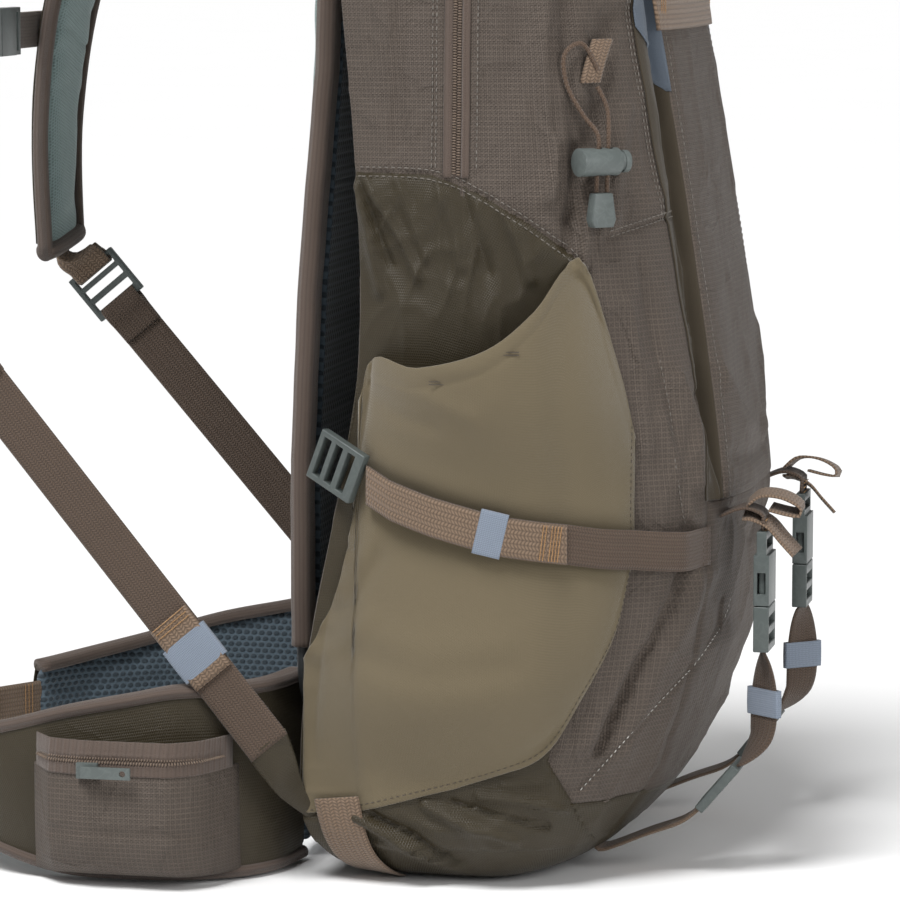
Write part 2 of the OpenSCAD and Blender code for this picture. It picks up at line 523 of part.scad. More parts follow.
// Strap across the top of the stuff pocket.
pocket_strap_z = 446;
function pocket_strap_grid(o) = [for (x = [-84, -70, -50, -25, 0, 25, 50, 70, 84])
    [for (dz = [-web_w / 2, web_w / 2]) on_front(x, pocket_strap_z + dz, 3.2 + o)]];
module pocket_strap() color(webbing) cloth_patch(pocket_strap_grid(web_t), pocket_strap_grid(0));

// ---------- stow straps below the pocket ----------
stow_x = 75;
stow_y = -146;
stow_z = 142;
module at_stow() translate([-stow_x, stow_y, stow_z]) rotate([0, -90, 0]) rotate([90, 0, 0]) children();
stow_lock_at = [-stow_x, -134, 58];
stow_lock_dir = unit([0, 22, -26]);
lock_l = 30;
function at_stow_y(y, z) = [-stow_x, y, z];
module stow_side() {
    top = on_front(-stow_x, 188, 2.2);
    foot = on_front(-stow_x, 12, 2.2);
    strap([top, at_stow_y(top[1] - 9, 191), at_stow_y(stow_y + 1, 188),
        at_stow_y(stow_y, stow_z + female_l + gap)], [1, 0, 0], thin_w);
    strap([at_stow_y(stow_y, stow_z - male_l + 0.5), at_stow_y(stow_y, 74), at_stow_y(stow_y + 4, 67),
        stow_lock_at], [1, 0, 0], thin_w);
    strap([stow_lock_at + stow_lock_dir * (lock_l + 2 * gap),
        stow_lock_at + stow_lock_dir * (lock_l + 10) + [0, 4, 0], foot], [1, 0, 0], thin_w);
}
module stow_straps() color(webbing) for (s = [0, 1]) mirror([s, 0, 0]) stow_side();
module stow_buckles_female() for (s = [0, 1]) mirror([s, 0, 0]) at_stow() buckle_female(thin_w);
module stow_buckle() at_stow() buckle_male(thin_w);
module stow_locks() for (s = [0, 1]) mirror([s, 0, 0]) 
    translate(stow_lock_at + stow_lock_dir * (3 + gap))
        rotate([atan2(-stow_lock_dir[1], stow_lock_dir[2]), 0, 0])
        rotate([0, -90, 0]) rotate([90, 0, 0]) ladder_lock(thin_w);

// ---------- tool cord ----------
lock_at = [-72, 370];
lock_r = 7;
lock_o = lock_r + 0.8;
end_z = 338;
strand = 3.2;
lock_dir = unit(on_side(-80, lock_at[1], 0) - on_side(-64, lock_at[1], 0));
lock_yaw = atan2(lock_dir[1], lock_dir[0]);
dy = strand * abs(lock_dir[1]);
// Depth, height and stand-off from the bag of each point along the two strands.
cord_a = [[-68, 415, 4.3], [-61, 428, 4.3], [-53, 423, 4], [-54, 408, 3], [-62, 393, 4],
    [lock_at[0] + dy, 383, lock_o], [lock_at[0] + dy, 370, lock_o], [lock_at[0] + dy, 357, lock_o],
    [lock_at[0] + dy, end_z + 17, lock_o]];
cord_b = [[-68, 407, 4.3], [-73, 396, 6], [lock_at[0] - dy, 383, lock_o], [lock_at[0] - dy, 370, lock_o],
    [lock_at[0] - dy, 357, lock_o], [lock_at[0] - dy, end_z + 17, lock_o]];
function cord_route(pts) = smooth([for (q = pts) on_side(q[0], q[1], q[2])], 3);
module tool_cord() color(webbing) {
    cord(cord_route(cord_a), cord_d / 2);
    cord(cord_route(cord_b), cord_d / 2);
}
module cord_tab() color(webbing) cloth_patch(
    [for (z = [410, 420, 432]) [for (y = [-74, -60]) on_side(y, z + (y + 60) * 0.4, 0.9 + web_t)]],
    [for (z = [410, 420, 432]) [for (y = [-74, -60]) on_side(y, z + (y + 60) * 0.4, 0.9)]]);
module at_lock() translate(on_side(lock_at[0], lock_at[1], lock_o)) rotate([0, 0, lock_yaw])
    rotate([0, 90, 0]) children();
hole_r = 2.6;
module cord_lock() color(plastic) at_lock() difference() {
    translate([0, 0, -14]) cylinder(h = 22, r = lock_r, $fn = 48);
    translate([0, 0, -11.5]) cylinder(h = 24, r = 5.2, $fn = 48);
    for (z = [-strand, strand]) translate([-10, 0, z])
        rotate([0, 90, 0]) cylinder(h = 20, r = hole_r, $fn = 32);
}
plunger_travel = 3;
module cord_plunger() color(plastic) at_lock() difference() {
    union() {
        translate([0, 0, -8]) cylinder(h = 19, r = 4.9, $fn = 48);
        translate([0, 0, 11]) cylinder(h = 3, r = 5.6, $fn = 48);
    }
    for (z = [-strand, strand]) translate([-10, -hole_r, z - hole_r])
        cube([20, 2 * hole_r, 2 * hole_r + plunger_travel]);
}
module cord_end() color(plastic) translate(on_side(lock_at[0], end_z - gap, lock_o))
    rotate([0, 0, lock_yaw])
    rotate([90, 0, 0]) translate([0, 0, -3.2])
    linear_extrude(height = 6.4) polygon([[-5, 17], [5, 17], [7, 4], [5.5, 0], [-5.5, 0], [-7, 4]]);

// ---------- assembly ----------
base_panel();
side_panel();  // side_panel_left
right() side_panel();  // side_panel_right
front_panel();
back_panel();
lid();
lid_zip();
lid_zip_slider();
stuff_pocket();
for (s = [0, 1]) mirror([s, 0, 0]) stuff_gusset();  // stuff_gussets
for (s = [0, 1]) mirror([s, 0, 0]) stuff_corner();  // stuff_corners
side_pocket();  // side_pocket_left
right() side_pocket();  // side_pocket_right
side_zip();
side_zip_slider();
frame_hoop();
frame_anchors();
frame_sheet();
mesh_pad();
spacer_mesh();
mesh_binding();
lumbar_pad();
hip_wing();  // hip_wing_left
right() hip_wing();  // hip_wing_right
hip_pocket();  // hip_pocket_left
right() hip_pocket();  // hip_pocket_right
hip_zip_slider();  // hip_zip_slider_left
right() hip_zip_slider();  // hip_zip_slider_right
hip_strap();  // hip_strap_left
right() hip_strap();  // hip_strap_right
hip_buckle_male();
hip_buckle_female();
shoulder_strap();  // shoulder_strap_left
right() shoulder_strap();  // shoulder_strap_right
lower_webbing();  // lower_webbing_left
right() lower_webbing();  // lower_webbing_right
for (s = [0, 1]) mirror([s, 0, 0]) shoulder_keeper();  // shoulder_keepers
shoulder_lock();  // ladder_lock_left
right() shoulder_lock();  // ladder_lock_right
sternum_strap();
sternum_buckle_male();
sternum_buckle_female();
grab_handle();
compression_strap();  // compression_strap_left
right() compression_strap();  // compression_strap_right
compression_lock();  // compression_lock_left
right() compression_lock();  // compression_lock_right
compression_keeper();  // compression_keeper_left
right() compression_keeper();  // compression_keeper_right
pocket_strap();
stow_straps();
stow_buckles_female();
stow_buckle();  // stow_buckle_left
right() stow_buckle();  // stow_buckle_right
stow_locks();
cord_tab();
tool_cord();
cord_lock();
cord_plunger();
cord_end();
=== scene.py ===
# %% [markdown]
# # A hunting day pack, dressed cloth by cloth
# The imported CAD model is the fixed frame: it says where every panel, strap and buckle is, and
# what moves. Here each soft part gets a modelled skin with its folds, seams and weave, and each
# plastic fitting gets worn edges. All sizes in the lists below are millimetres in that frame.

# %% Load the frame
import json
import math

import bmesh
import bpy
import numpy as np
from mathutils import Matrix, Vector


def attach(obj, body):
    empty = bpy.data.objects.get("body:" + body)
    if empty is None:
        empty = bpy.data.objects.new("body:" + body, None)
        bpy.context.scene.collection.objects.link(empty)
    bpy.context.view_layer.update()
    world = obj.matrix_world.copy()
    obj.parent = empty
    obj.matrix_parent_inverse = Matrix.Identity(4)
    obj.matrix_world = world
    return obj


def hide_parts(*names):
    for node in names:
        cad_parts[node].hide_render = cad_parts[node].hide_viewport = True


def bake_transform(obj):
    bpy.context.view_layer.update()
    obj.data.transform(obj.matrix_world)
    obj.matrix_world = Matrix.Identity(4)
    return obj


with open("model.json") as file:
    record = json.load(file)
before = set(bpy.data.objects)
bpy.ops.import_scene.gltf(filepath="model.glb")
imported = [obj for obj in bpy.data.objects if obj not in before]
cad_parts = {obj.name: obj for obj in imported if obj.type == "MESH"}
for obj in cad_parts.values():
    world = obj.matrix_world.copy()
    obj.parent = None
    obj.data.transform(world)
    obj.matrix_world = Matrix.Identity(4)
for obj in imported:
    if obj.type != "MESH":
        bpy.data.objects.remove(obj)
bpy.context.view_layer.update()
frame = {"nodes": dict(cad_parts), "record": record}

scene = bpy.context.scene
scene.view_settings.view_transform = "Standard"
MM = 0.001

# %% [markdown]
# ## Camera and light
# A long lens from the pack's left side, a little to the front and slightly above, flattens the
# bag as a catalogue picture does. The light is a pale room with one broad soft sun, so that
# folds are modelled by gentle shade.

# %% Camera
LENS_MM, SENSOR_MM, CAMERA_AWAY = 176, 36, 2.2  # the last one in metres
swing, dip = math.radians(12), math.radians(7)
forward = Vector((math.cos(swing) * math.cos(dip), math.sin(swing) * math.cos(dip), -math.sin(dip)))
aim = Vector((-0.150, 0.0026, 0.2258))
camera = bpy.data.objects.new("camera", bpy.data.cameras.new("camera"))
camera.data.lens, camera.data.sensor_width = LENS_MM, SENSOR_MM
camera.location = aim - forward * CAMERA_AWAY
camera.rotation_euler = forward.to_track_quat("-Z", "Y").to_euler()
scene.collection.objects.link(camera)
scene.camera = camera
print("camera:", [round(v, 3) for v in camera.location])

# %% Room light and lamps
room = bpy.data.worlds.new("pale_room")
room.use_nodes = True
room.node_tree.nodes["Background"].inputs[0].default_value = (1, 1, 1, 1)
room.node_tree.nodes["Background"].inputs[1].default_value = 0.3
scene.world = room


def lamp(name, kind, strength, place, target, size):
    data = bpy.data.lights.new(name, kind)
    data.energy = strength
    if kind == "SUN":
        data.angle = size
    else:
        data.size = size
    obj = bpy.data.objects.new(name, data)
    obj.location = place
    obj.rotation_euler = (Vector(target) - Vector(place)).to_track_quat("-Z", "Y").to_euler()
    scene.collection.objects.link(obj)


lamp("soft_sun", "SUN", 2.9, (-1.25, 0.5, 2.6), (0, 0, 0.2), 0.4)
lamp("side_panel_light", "AREA", 12, (-1.2, -1.3, 0.9), (-0.1, 0, 0.3), 0.9)
lamp("top_back_light", "AREA", 7, (-0.6, 1.4, 1.5), (0, 0.05, 0.35), 0.8)
print("lamps:", [light.name for light in bpy.data.lights])

# %% [markdown]
# ## Measures of the bag
# The CAD shell is a set of formulas: half width and front and back depth at each height. The
# same formulas, written for whole grids of points at once, let the fine cloth follow the frame
# exactly and still be dense enough for folds.

# %% The shell's formulas
BAG_W, RIM_Z, BELLY_Z, BASE_R, BASE_TOP, BOW = 296, 600, 190, 42, 44, 2.8
TAPER, TAPER_Z = 14, 350  # how much each side draws in towards the rim, and from what height
FOOT_Y, BELLY_Y, RIM_Y = 30, 132, 62  # depth of the front at the floor, the belly and the rim
SHELF_Y, HOLLOW_Y, NECK_Y, HOLLOW_Z = 82, 50, 66, 300  # depth of the back, and its hollow's height
SEAM_X, CLOTH = 90, 1.6


def ease(v):
    return np.sin(np.pi / 2 * np.clip(v, 0, 1)) ** 2


def round_in(z):
    return BASE_R - np.sqrt(BASE_R**2 - (BASE_R - np.minimum(z, BASE_R)) ** 2)


def half_w(z):
    return BAG_W / 2 - round_in(z) - TAPER * np.clip((z - TAPER_Z) / (RIM_Z - TAPER_Z), 0, 1)


def front_y(z):
    rise = np.sqrt(np.maximum(0, 1 - (1 - np.minimum(z, BELLY_Z) / BELLY_Z) ** 2))
    low = FOOT_Y + (BELLY_Y - FOOT_Y) * rise
    high = BELLY_Y - (BELLY_Y - RIM_Y) * np.clip((z - BELLY_Z) / (RIM_Z - BELLY_Z), 0, None) ** 1.2
    return np.where(z < BELLY_Z, low, high)


def back_y(z):
    shelf = HOLLOW_Y + (SHELF_Y - HOLLOW_Y) * ease((HOLLOW_Z - z) / 240)
    shelf = np.where(z < 60, SHELF_Y - round_in(z), shelf)
    neck = HOLLOW_Y + (NECK_Y - HOLLOW_Y) * ease((z - HOLLOW_Z) / 250)
    return np.where(z < HOLLOW_Z, shelf, neck)


def stacked(*parts):
    """Numbers and grids of numbers, joined into one grid of points."""
    return np.stack(np.broadcast_arrays(*parts), -1)


def on_side(y, z, o=0):
    w = half_w(z) + o
    rear = w * (1 - 0.04 * (y / back_y(z)) ** 2)
    r = np.clip(-np.minimum(y, 0) / (front_y(z) + o), 0, 1)
    x = np.where(y >= 0, rear, w * (1 - r**BOW) ** (1 / BOW))
    return stacked(-x, y, z).astype(float)


def corner(z, t, o=0):
    c, s = np.clip(np.cos(t), 0, 1), np.clip(np.sin(t), 0, 1)
    x, y = (half_w(z) + o) * c ** (2 / BOW), (front_y(z) + o) * s ** (2 / BOW)
    return stacked(-x, -y, z).astype(float)


def on_front(x, z, o=0):
    r = np.clip(np.abs(x) / (half_w(z) + o), 0, 1)
    y = (front_y(z) + o) * (1 - r**BOW) ** (1 / BOW)
    return stacked(x, -y, z).astype(float)


def seam_t(z):
    return np.arccos((SEAM_X / half_w(z)) ** (BOW / 2))


def mirror(points):
    return np.asarray(points, float) * (-1, 1, 1)


print("shell formulas: the rim is", float(2 * half_w(RIM_Z)), "mm wide")

# %% [markdown]
# ## Folds
# Cloth on a stuffed bag is never smooth: it swells between seams, creases where it is pulled and
# pinches along every stitched line. One height field is evaluated in space, so neighbouring
# panels that share an edge move together and no seam opens.

# %% Noise and creases
def noise(p, size, seed=0):
    q = np.asarray(p, float) / size
    base = np.floor(q).astype(np.int64)
    f = q - base
    f = f * f * (3 - 2 * f)
    total = 0
    for dx in (0, 1):
        for dy in (0, 1):
            for dz in (0, 1):
                i = base + (dx, dy, dz)
                h = seed * 2654435
                for k, factor in enumerate((73856093, 19349663, 83492791)):
                    h = h ^ (i[..., k] * factor)
                for shift, factor in ((13, 1274126177), (15, 668265263)):
                    h = (((h ^ (h >> shift)) & 0x7FFFFFFF) * factor) & 0x7FFFFFFF
                w = np.abs(1 - dx - f[..., 0]) * np.abs(1 - dy - f[..., 1]) * np.abs(1 - dz - f[..., 2])
                total = total + w * (h / 0x3FFFFFFF - 1)
    return total


def near_line(a, b, line):
    """Distance of each (a, b) from a polyline in that plane."""
    best = np.full(np.shape(a), 1e9)
    for (a0, b0), (a1, b1) in zip(line[:-1], line[1:]):
        da, db = a1 - a0, b1 - b0
        k = np.clip(((a - a0) * da + (b - b0) * db) / (da * da + db * db), 0, 1)
        best = np.minimum(best, np.hypot(a - a0 - k * da, b - b0 - k * db))
    return best


def creased(d, a, b, table, blur=0.0, where=1.0, spread=1.0):
    """Heights d with a table's folds added: each has a line, a height and a half width."""
    for line, height, width in table:
        d = d + where * height * np.exp(-(((near_line(a, b, line) + blur) / (spread * width)) ** 2))
    return d


print("noise and creases ready")

# %% The folds seen on this pack
SATIN_TOP = [(80, 366), (55, 364), (13, 363), (-12, 354), (-37, 339), (-57, 324), (-66, 314)]
FRONT_SEAM_LOW = [(-88, 320), (-95, 280), (-102, 244), (-107, 209), (-110, 180)]
GREY_STITCH = [(-125, 141), (-122, 128), (-113, 112), (-98, 95), (-80, 74), (-61, 52)]
BASE_SEAM = [(-46, 68), (-56, 48), (-63, 27)]
SHORT_SEAM = [(-74, 332), (-99, 340)]
ZIP_EDGE = 8
SIDE_CREASES = [  # line in depth and height, height of the fold, its half width
    ([(51, 356), (46, 335), (40, 305)], 2.4, 4), ([(47, 361), (37, 345), (27, 329), (19, 312)], 2.2, 3.2),
    ([(49, 359), (42, 339), (34, 318)], -1.8, 2.4), ([(8, 360), (3, 345), (-4, 318)], 1.4, 4),
    ([(-2, 357), (-9, 340), (-16, 315)], -1.2, 3), ([(-22, 349), (-31, 333), (-38, 312)], 1.6, 4),
    ([(30, 362), (24, 345), (15, 322)], 1.1, 3),
    ([(-70, 440), (-68, 400), (-64, 370), (-56, 342)], -2.6, 5),
    ([(-56, 420), (-53, 378), (-45, 352)], 1.8, 7),
    ([(-80, 395), (-77, 360), (-76, 338)], 1.6, 4), ([(-83, 300), (-90, 262), (-93, 225)], 1.2, 4),
    ([(-112, 164), (-106, 152), (-90, 118), (-71, 73)], -3.6, 3.4),
    ([(-119, 158), (-99, 116), (-80, 68)], 2.2, 6),
    ([(-105, 150), (-84, 112), (-64, 76)], 1.4, 5), (SATIN_TOP, -1.0, 1.8), (FRONT_SEAM_LOW, -1.3, 2.2),
    (GREY_STITCH, -0.8, 1.8), (SHORT_SEAM, -1.1, 1.8), (BASE_SEAM, -1.0, 1.8),
    ([(52, 36), (32, 24), (12, 12), (0, 6)], 3.6, 3.4), ([(44, 38), (24, 28), (4, 14), (-8, 6)], -2.8, 2.6),
    ([(40, 22), (16, 14), (2, 7)], 2.4, 3),
    ([(16, 44), (-6, 34), (-30, 26)], 2.5, 3), ([(2, 46), (-18, 40), (-44, 34)], -2.0, 2.4),
    ([(-12, 50), (-34, 48), (-54, 42)], 2.2, 2.6),
    ([(-104, 262), (-112, 236), (-114, 205)], 2.2, 3.4), ([(-112, 250), (-120, 225), (-122, 196)], -2.2, 3),
    ([(-98, 240), (-106, 215), (-111, 190)], 1.6, 3.4),
    ([(-24, 56), (-42, 57), (-50, 60)], 1.0, 2.2), ([(-8, 30), (-28, 14), (-40, 8)], 1.0, 4),
    ([(-66, 374), (-64, 342), (-62, 318)], 2.4, 2.8), ([(-58, 376), (-56, 345), (-54, 326)], -2.0, 2.8),
    ([(-48, 380), (-47, 352)], 1.8, 3),
    ([(-52, 455), (-54, 410), (-58, 376)], -2.2, 4), ([(-44, 470), (-42, 415), (-46, 372)], 1.6, 4),
    ([(-80, 560), (-74, 500), (-76, 450)], 1.6, 4),
    ([(28, 560), (40, 500), (38, 440), (44, 392)], 1.0, 6), ([(24, 470), (32, 420), (30, 380)], -0.9, 5),
    ([(-30, 560), (-34, 470), (-27, 400)], -0.9, 8),
]
FRONT_CREASES = [
    ([(-60, 186), (-20, 168), (30, 178), (66, 162)], -2.2, 5), ([(-50, 120), (-5, 104), (52, 116)], 1.6, 8),
    ([(-78, 560), (-30, 548), (30, 552), (78, 560)], 1.2, 7), ([(-40, 80), (0, 70), (44, 84)], -1.6, 5),
]


def folds(p):
    """How far the cloth stands out from the smooth shell at each point, in mm."""
    x, y, z = p[..., 0], p[..., 1], p[..., 2]
    d = 2.2 * noise(p, 78, 1) + 1.4 * noise(p, 36, 2) + 0.5 * noise(p, 15, 3)
    ridge = 1 - np.abs(noise(p * (1, 1.3, 0.55), 26, 4))
    d = d + 1.5 * (ridge**5 - 0.3)
    low = np.clip((74 - z) / 40, 0, 1)
    wave = 1 - np.abs(noise(p * (0.6, 0.55, 1.5), 20, 5))
    d = d + low * 1.9 * (wave**4 - 0.35)
    side, front = np.abs(x) > 62, (np.abs(x) < SEAM_X) & (y < -30)
    blur = 0.6 * noise(p, 11, 6)
    d = creased(d, y, z, SIDE_CREASES, blur, side * 1.6, 0.85)
    d = creased(d, x, z, FRONT_CREASES, blur, front)
    zip_zone = (x < -60) & (z > 356)
    beside = np.exp(-(((np.abs(y) - ZIP_EDGE - 1.5) / 1.6) ** 2))
    d = np.where(zip_zone, d * (1 - 0.75 * np.exp(-((y / 14) ** 4))) + 1.1 * beside, d)
    seam = np.exp(-(((np.abs(x) - SEAM_X) / 3) ** 2)) * (y < -40)
    pucker = 0.35 * noise(p * (1, 1, 2.2), 8, 7)
    d = d - seam * (1.3 + pucker)
    return d * ease((z - 3) / 16) * (0.25 + 0.75 * ease((598 - z) / 26))


print("fold field: sample", round(float(folds(np.array([-148.0, 20.0, 420.0]))), 2), "mm")

# %% [markdown]
# ## From grids of points to cloth
# A panel is a grid of points with a second grid a cloth's thickness behind it, closed round the
# edge by a small rolled hem. Straps are a cross-section carried along a path. Each point also
# gets a real-size position on the cloth, in metres, so that a weave follows the panel.

# %% Mesh builders
HEM = 0.45  # share of a cloth's thickness by which its hem stands out
STRAP_CELLS = 6  # cells across a strap
INSIDE = (0, -10, 300)  # every panel of the bag faces away from this point


def unit(v):
    v = np.asarray(v, float)
    return v / np.maximum(np.linalg.norm(v, axis=-1, keepdims=True), 1e-9)


def enclosed(points, tris):
    a, b, c = points[tris[:, 0]], points[tris[:, 1]], points[tris[:, 2]]
    return float(np.einsum("ij,ij->i", np.cross(a, b), c).sum())


def as_tris(faces):
    return np.array([t for f in faces for t in ((f[0], f[k], f[k + 1]) for k in range(1, len(f) - 1))])


def lay_cloth(mesh, uv):
    """Writes each point's place on the cloth, given in millimetres, as the mesh's UV map."""
    layer = mesh.uv_layers.new(name="cloth")
    corners = np.zeros(len(mesh.loops), int)
    mesh.loops.foreach_get("vertex_index", corners)
    layer.data.foreach_set("uv", (np.asarray(uv, float)[corners] * MM).astype(np.float32).ravel())


def piece(name, made, body, material, stands_for=(), sharp=None):
    """A closed mesh in millimetres, turned outwards, riding on a body; a tuple in place of the body leaves
    it riding on none.
    """
    points, faces, uv = made
    points = np.asarray(points, float)
    faces = [tuple(int(i) for i in f) for f in faces]
    if enclosed(points - points.mean(0), as_tris(faces)) < 0:
        faces = [f[::-1] for f in faces]
    mesh = bpy.data.meshes.new(name)
    mesh.from_pydata((points * MM).tolist(), [], faces)
    if uv is not None:
        lay_cloth(mesh, uv)
    mesh.shade_smooth()
    if sharp:
        mesh.set_sharp_from_angle(angle=math.radians(sharp))
    mesh.materials.append(material)
    obj = bpy.data.objects.new(name, mesh)
    scene.collection.objects.link(obj)
    if isinstance(body, tuple):
        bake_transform(obj)
    else:
        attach(obj, body)
    if stands_for:
        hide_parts(*stands_for)
    return obj


print("mesh builder ready")


# %% Grids, shells and lofts
def grid_quads(m, n, wrap=False):
    i, j = np.meshgrid(np.arange(m - 1), np.arange(n if wrap else n - 1), indexing="ij")
    k = (j + 1) % n
    return np.stack([i * n + j, i * n + k, (i + 1) * n + k, (i + 1) * n + j], -1).reshape(-1, 4)


def rim_loop(m, n):
    """Indices once round the edge of an m by n grid, back to the first."""
    idx = np.arange(m * n).reshape(m, n)
    return np.concatenate([idx[0], idx[1:, -1], idx[-1, -2::-1], idx[-2:0:-1, 0], idx[0, :1]])


def distances(path):
    """How far along a path each of its points is."""
    return np.concatenate([[0], np.cumsum(np.linalg.norm(np.diff(path, axis=0), axis=1))])


def cloth_uv(p):
    u = np.concatenate([[0], np.cumsum(np.linalg.norm(np.diff(p, axis=1), axis=-1).mean(0))])
    v = np.concatenate([[0], np.cumsum(np.linalg.norm(np.diff(p, axis=0), axis=-1).mean(1))])
    return stacked(u[None, :], v[:, None])


def shell(p, thick, inside=INSIDE):
    """Closed wall behind the outer grid p, with a rolled hem along its edge."""
    m, n = p.shape[:2]
    du, dv = np.gradient(p, axis=1), np.gradient(p, axis=0)
    nrm = unit(np.cross(du, dv))
    if ((p - np.asarray(inside, float)) * nrm).sum() < 0:
        nrm = -nrm
    front, back = p.reshape(-1, 3), (p - nrm * thick).reshape(-1, 3)
    quads, uv = grid_quads(m, n), cloth_uv(p).reshape(-1, 2)
    du, dv = unit(du), unit(dv)
    out = np.zeros((m, n, 3))
    out[0] -= dv[0]
    out[-1] += dv[-1]
    out[:, 0] -= du[:, 0]
    out[:, -1] += du[:, -1]
    ring = rim_loop(m, n)
    edge, following = ring[:-1], ring[1:]
    hem = (front[edge] + back[edge]) / 2 + unit(out).reshape(-1, 3)[edge] * thick * HEM
    s = 2 * m * n + np.arange(len(edge))
    t = np.roll(s, -1)
    hem_faces = [np.stack([following, edge, s, t], -1),
                 np.stack([t, s, edge + m * n, following + m * n], -1)]
    faces = np.concatenate([quads, quads[:, ::-1] + m * n] + hem_faces).tolist()
    return np.concatenate([front, back, hem]), faces, np.concatenate([uv, uv, uv[edge]])


def turned_cloth(made):
    """The same mesh with its weave turned a quarter."""
    points, faces, uv = made
    return points, faces, uv[:, ::-1]


def loft(rings, uv=None):
    """Closed tube through rings of points, with a fan at each end."""
    rings = np.asarray(rings, float)
    m, n = rings.shape[:2]
    quads = grid_quads(m, n, True).tolist()
    points = np.concatenate([rings.reshape(-1, 3), rings[:1].mean(1), rings[-1:].mean(1)])
    caps = [(m * n, (j + 1) % n, j) for j in range(n)]
    caps += [(m * n + 1, (m - 1) * n + j, (m - 1) * n + (j + 1) % n) for j in range(n)]
    if uv is None:
        uv = cloth_uv(rings)
    uv = np.concatenate([uv.reshape(-1, 2), uv[0].mean(0, keepdims=True), uv[-1].mean(0, keepdims=True)])
    return points, quads + caps, uv


print("shell and loft ready")


# %% Paths, ribbons and tubes
def smooth_path(points, steps):
    """The smooth curve that the CAD runs through the same points."""
    p = np.asarray(points, float)
    out = []
    for i in range(len(p) - 1):
        a, b, c, d = p[max(i - 1, 0)], p[i], p[i + 1], p[min(i + 2, len(p) - 1)]
        for u in np.arange(steps) / steps:
            out.append(0.5 * (2 * b + (c - a) * u + (2 * a - 5 * b + 4 * c - d) * u * u
                              + (3 * b - a - 3 * c + d) * u**3))
    return np.array(out + [p[-1]])


def flat_path(points, steps):
    return smooth_path([(a, b, 0) for a, b in points], steps)


def resample(path, gap):
    path = np.asarray(path, float)
    s = distances(path)
    t = np.linspace(0, s[-1], max(3, int(round(s[-1] / gap)) + 1))
    return np.stack([np.interp(t, s, path[:, k]) for k in range(3)], 1)


def ribbon(path, across, width, thick, crown=0.0):
    """Webbing: a flat section with rolled edges, carried along a path."""
    path = np.asarray(path, float)
    along = unit(np.gradient(path, axis=0))
    across = np.broadcast_to(np.asarray(across, float), path.shape)
    face = unit(np.cross(along, across))
    across = unit(np.cross(face, along))
    w = np.broadcast_to(np.asarray(width, float), len(path))[:, None, None]
    a, edge = np.linspace(-1, 1, STRAP_CELLS + 1) * 0.5, thick / 2
    sx = np.concatenate([a, [0.5], a[::-1], [-0.5]])[None, :, None]
    sy = np.concatenate([0 * a + edge, [0], 0 * a - edge, [0]])[None, :, None]
    inset = np.where(np.abs(sy) > 1e-6, edge * 0.9, 0)
    x = sx * w - np.sign(sx) * inset * (np.abs(sx) > 0.49)
    y = sy + crown * (1 - (2 * sx) ** 2)
    rings = path[:, None] + across[:, None] * x + face[:, None] * y
    s = distances(path)
    uv = stacked(x[..., 0], s[:, None])
    return loft(rings, uv)


def tube(path, radius, sides=14):
    path = np.asarray(path, float)
    along = unit(np.gradient(path, axis=0))
    u = unit(np.cross(along[0], (1, 0, 0) if abs(along[0][0]) < 0.8 else (0, 0, 1)))
    rings, a = [], np.arange(sides) * 2 * np.pi / sides
    for p, d in zip(path, along):
        u = unit(u - d * np.dot(u, d))
        v = np.cross(d, u)
        rings.append(p + radius * (np.cos(a)[:, None] * u + np.sin(a)[:, None] * v))
    return loft(rings)


print("ribbon and tube ready")

# %% [markdown]
# ## Finishes
# Each real cloth has one thing that tells it apart: ripstop has a raised yarn every few
# millimetres, webbing has coarse ribs, elastic has fine ones, and mesh has holes. Those effects
# are small node groups, and every material mixes them with its own colours and gloss.

# %% Node helpers
def put(tree, kind, ins=None, **props):
    made = tree.nodes.new(kind)
    for key, value in props.items():
        setattr(made, key, value)
    for key, value in (ins or {}).items():
        if isinstance(value, bpy.types.NodeSocket):
            tree.links.new(value, made.inputs[key])
        else:
            made.inputs[key].default_value = value
    return made


def calc(tree, op, a, b=0.0, c=0.0, clamp=False):
    return put(tree, "ShaderNodeMath", {0: a, 1: b, 2: c}, operation=op, use_clamp=clamp).outputs[0]


def blend_colour(tree, factor, a, b):
    made = put(tree, "ShaderNodeMix", {0: factor}, data_type="RGBA")
    for index, value in ((6, a), (7, b)):
        if isinstance(value, bpy.types.NodeSocket):
            tree.links.new(value, made.inputs[index])
        else:
            made.inputs[index].default_value = (*value, 1)
    return made.outputs[2]


def effect(name, numbers, outs):
    """An empty shader group with a vector input, named numbers and float outputs."""
    tree = bpy.data.node_groups.new(name, "ShaderNodeTree")
    tree.interface.new_socket("Vector", in_out="INPUT", socket_type="NodeSocketVector")
    for key, value in numbers.items():
        made = tree.interface.new_socket(key, in_out="INPUT", socket_type="NodeSocketFloat")
        made.default_value = value
    for key in outs:
        tree.interface.new_socket(key, in_out="OUTPUT", socket_type="NodeSocketFloat")
    source, end = tree.nodes.new("NodeGroupInput"), tree.nodes.new("NodeGroupOutput")
    return tree, source.outputs, end.inputs


def waves(tree, value, pitch):
    """0 at each line, 1 between, for lines a pitch apart."""
    turns = calc(tree, "DIVIDE", value, pitch)
    return calc(tree, "ABSOLUTE", calc(tree, "SINE", calc(tree, "MULTIPLY", turns, math.pi)))


print("node helpers ready")

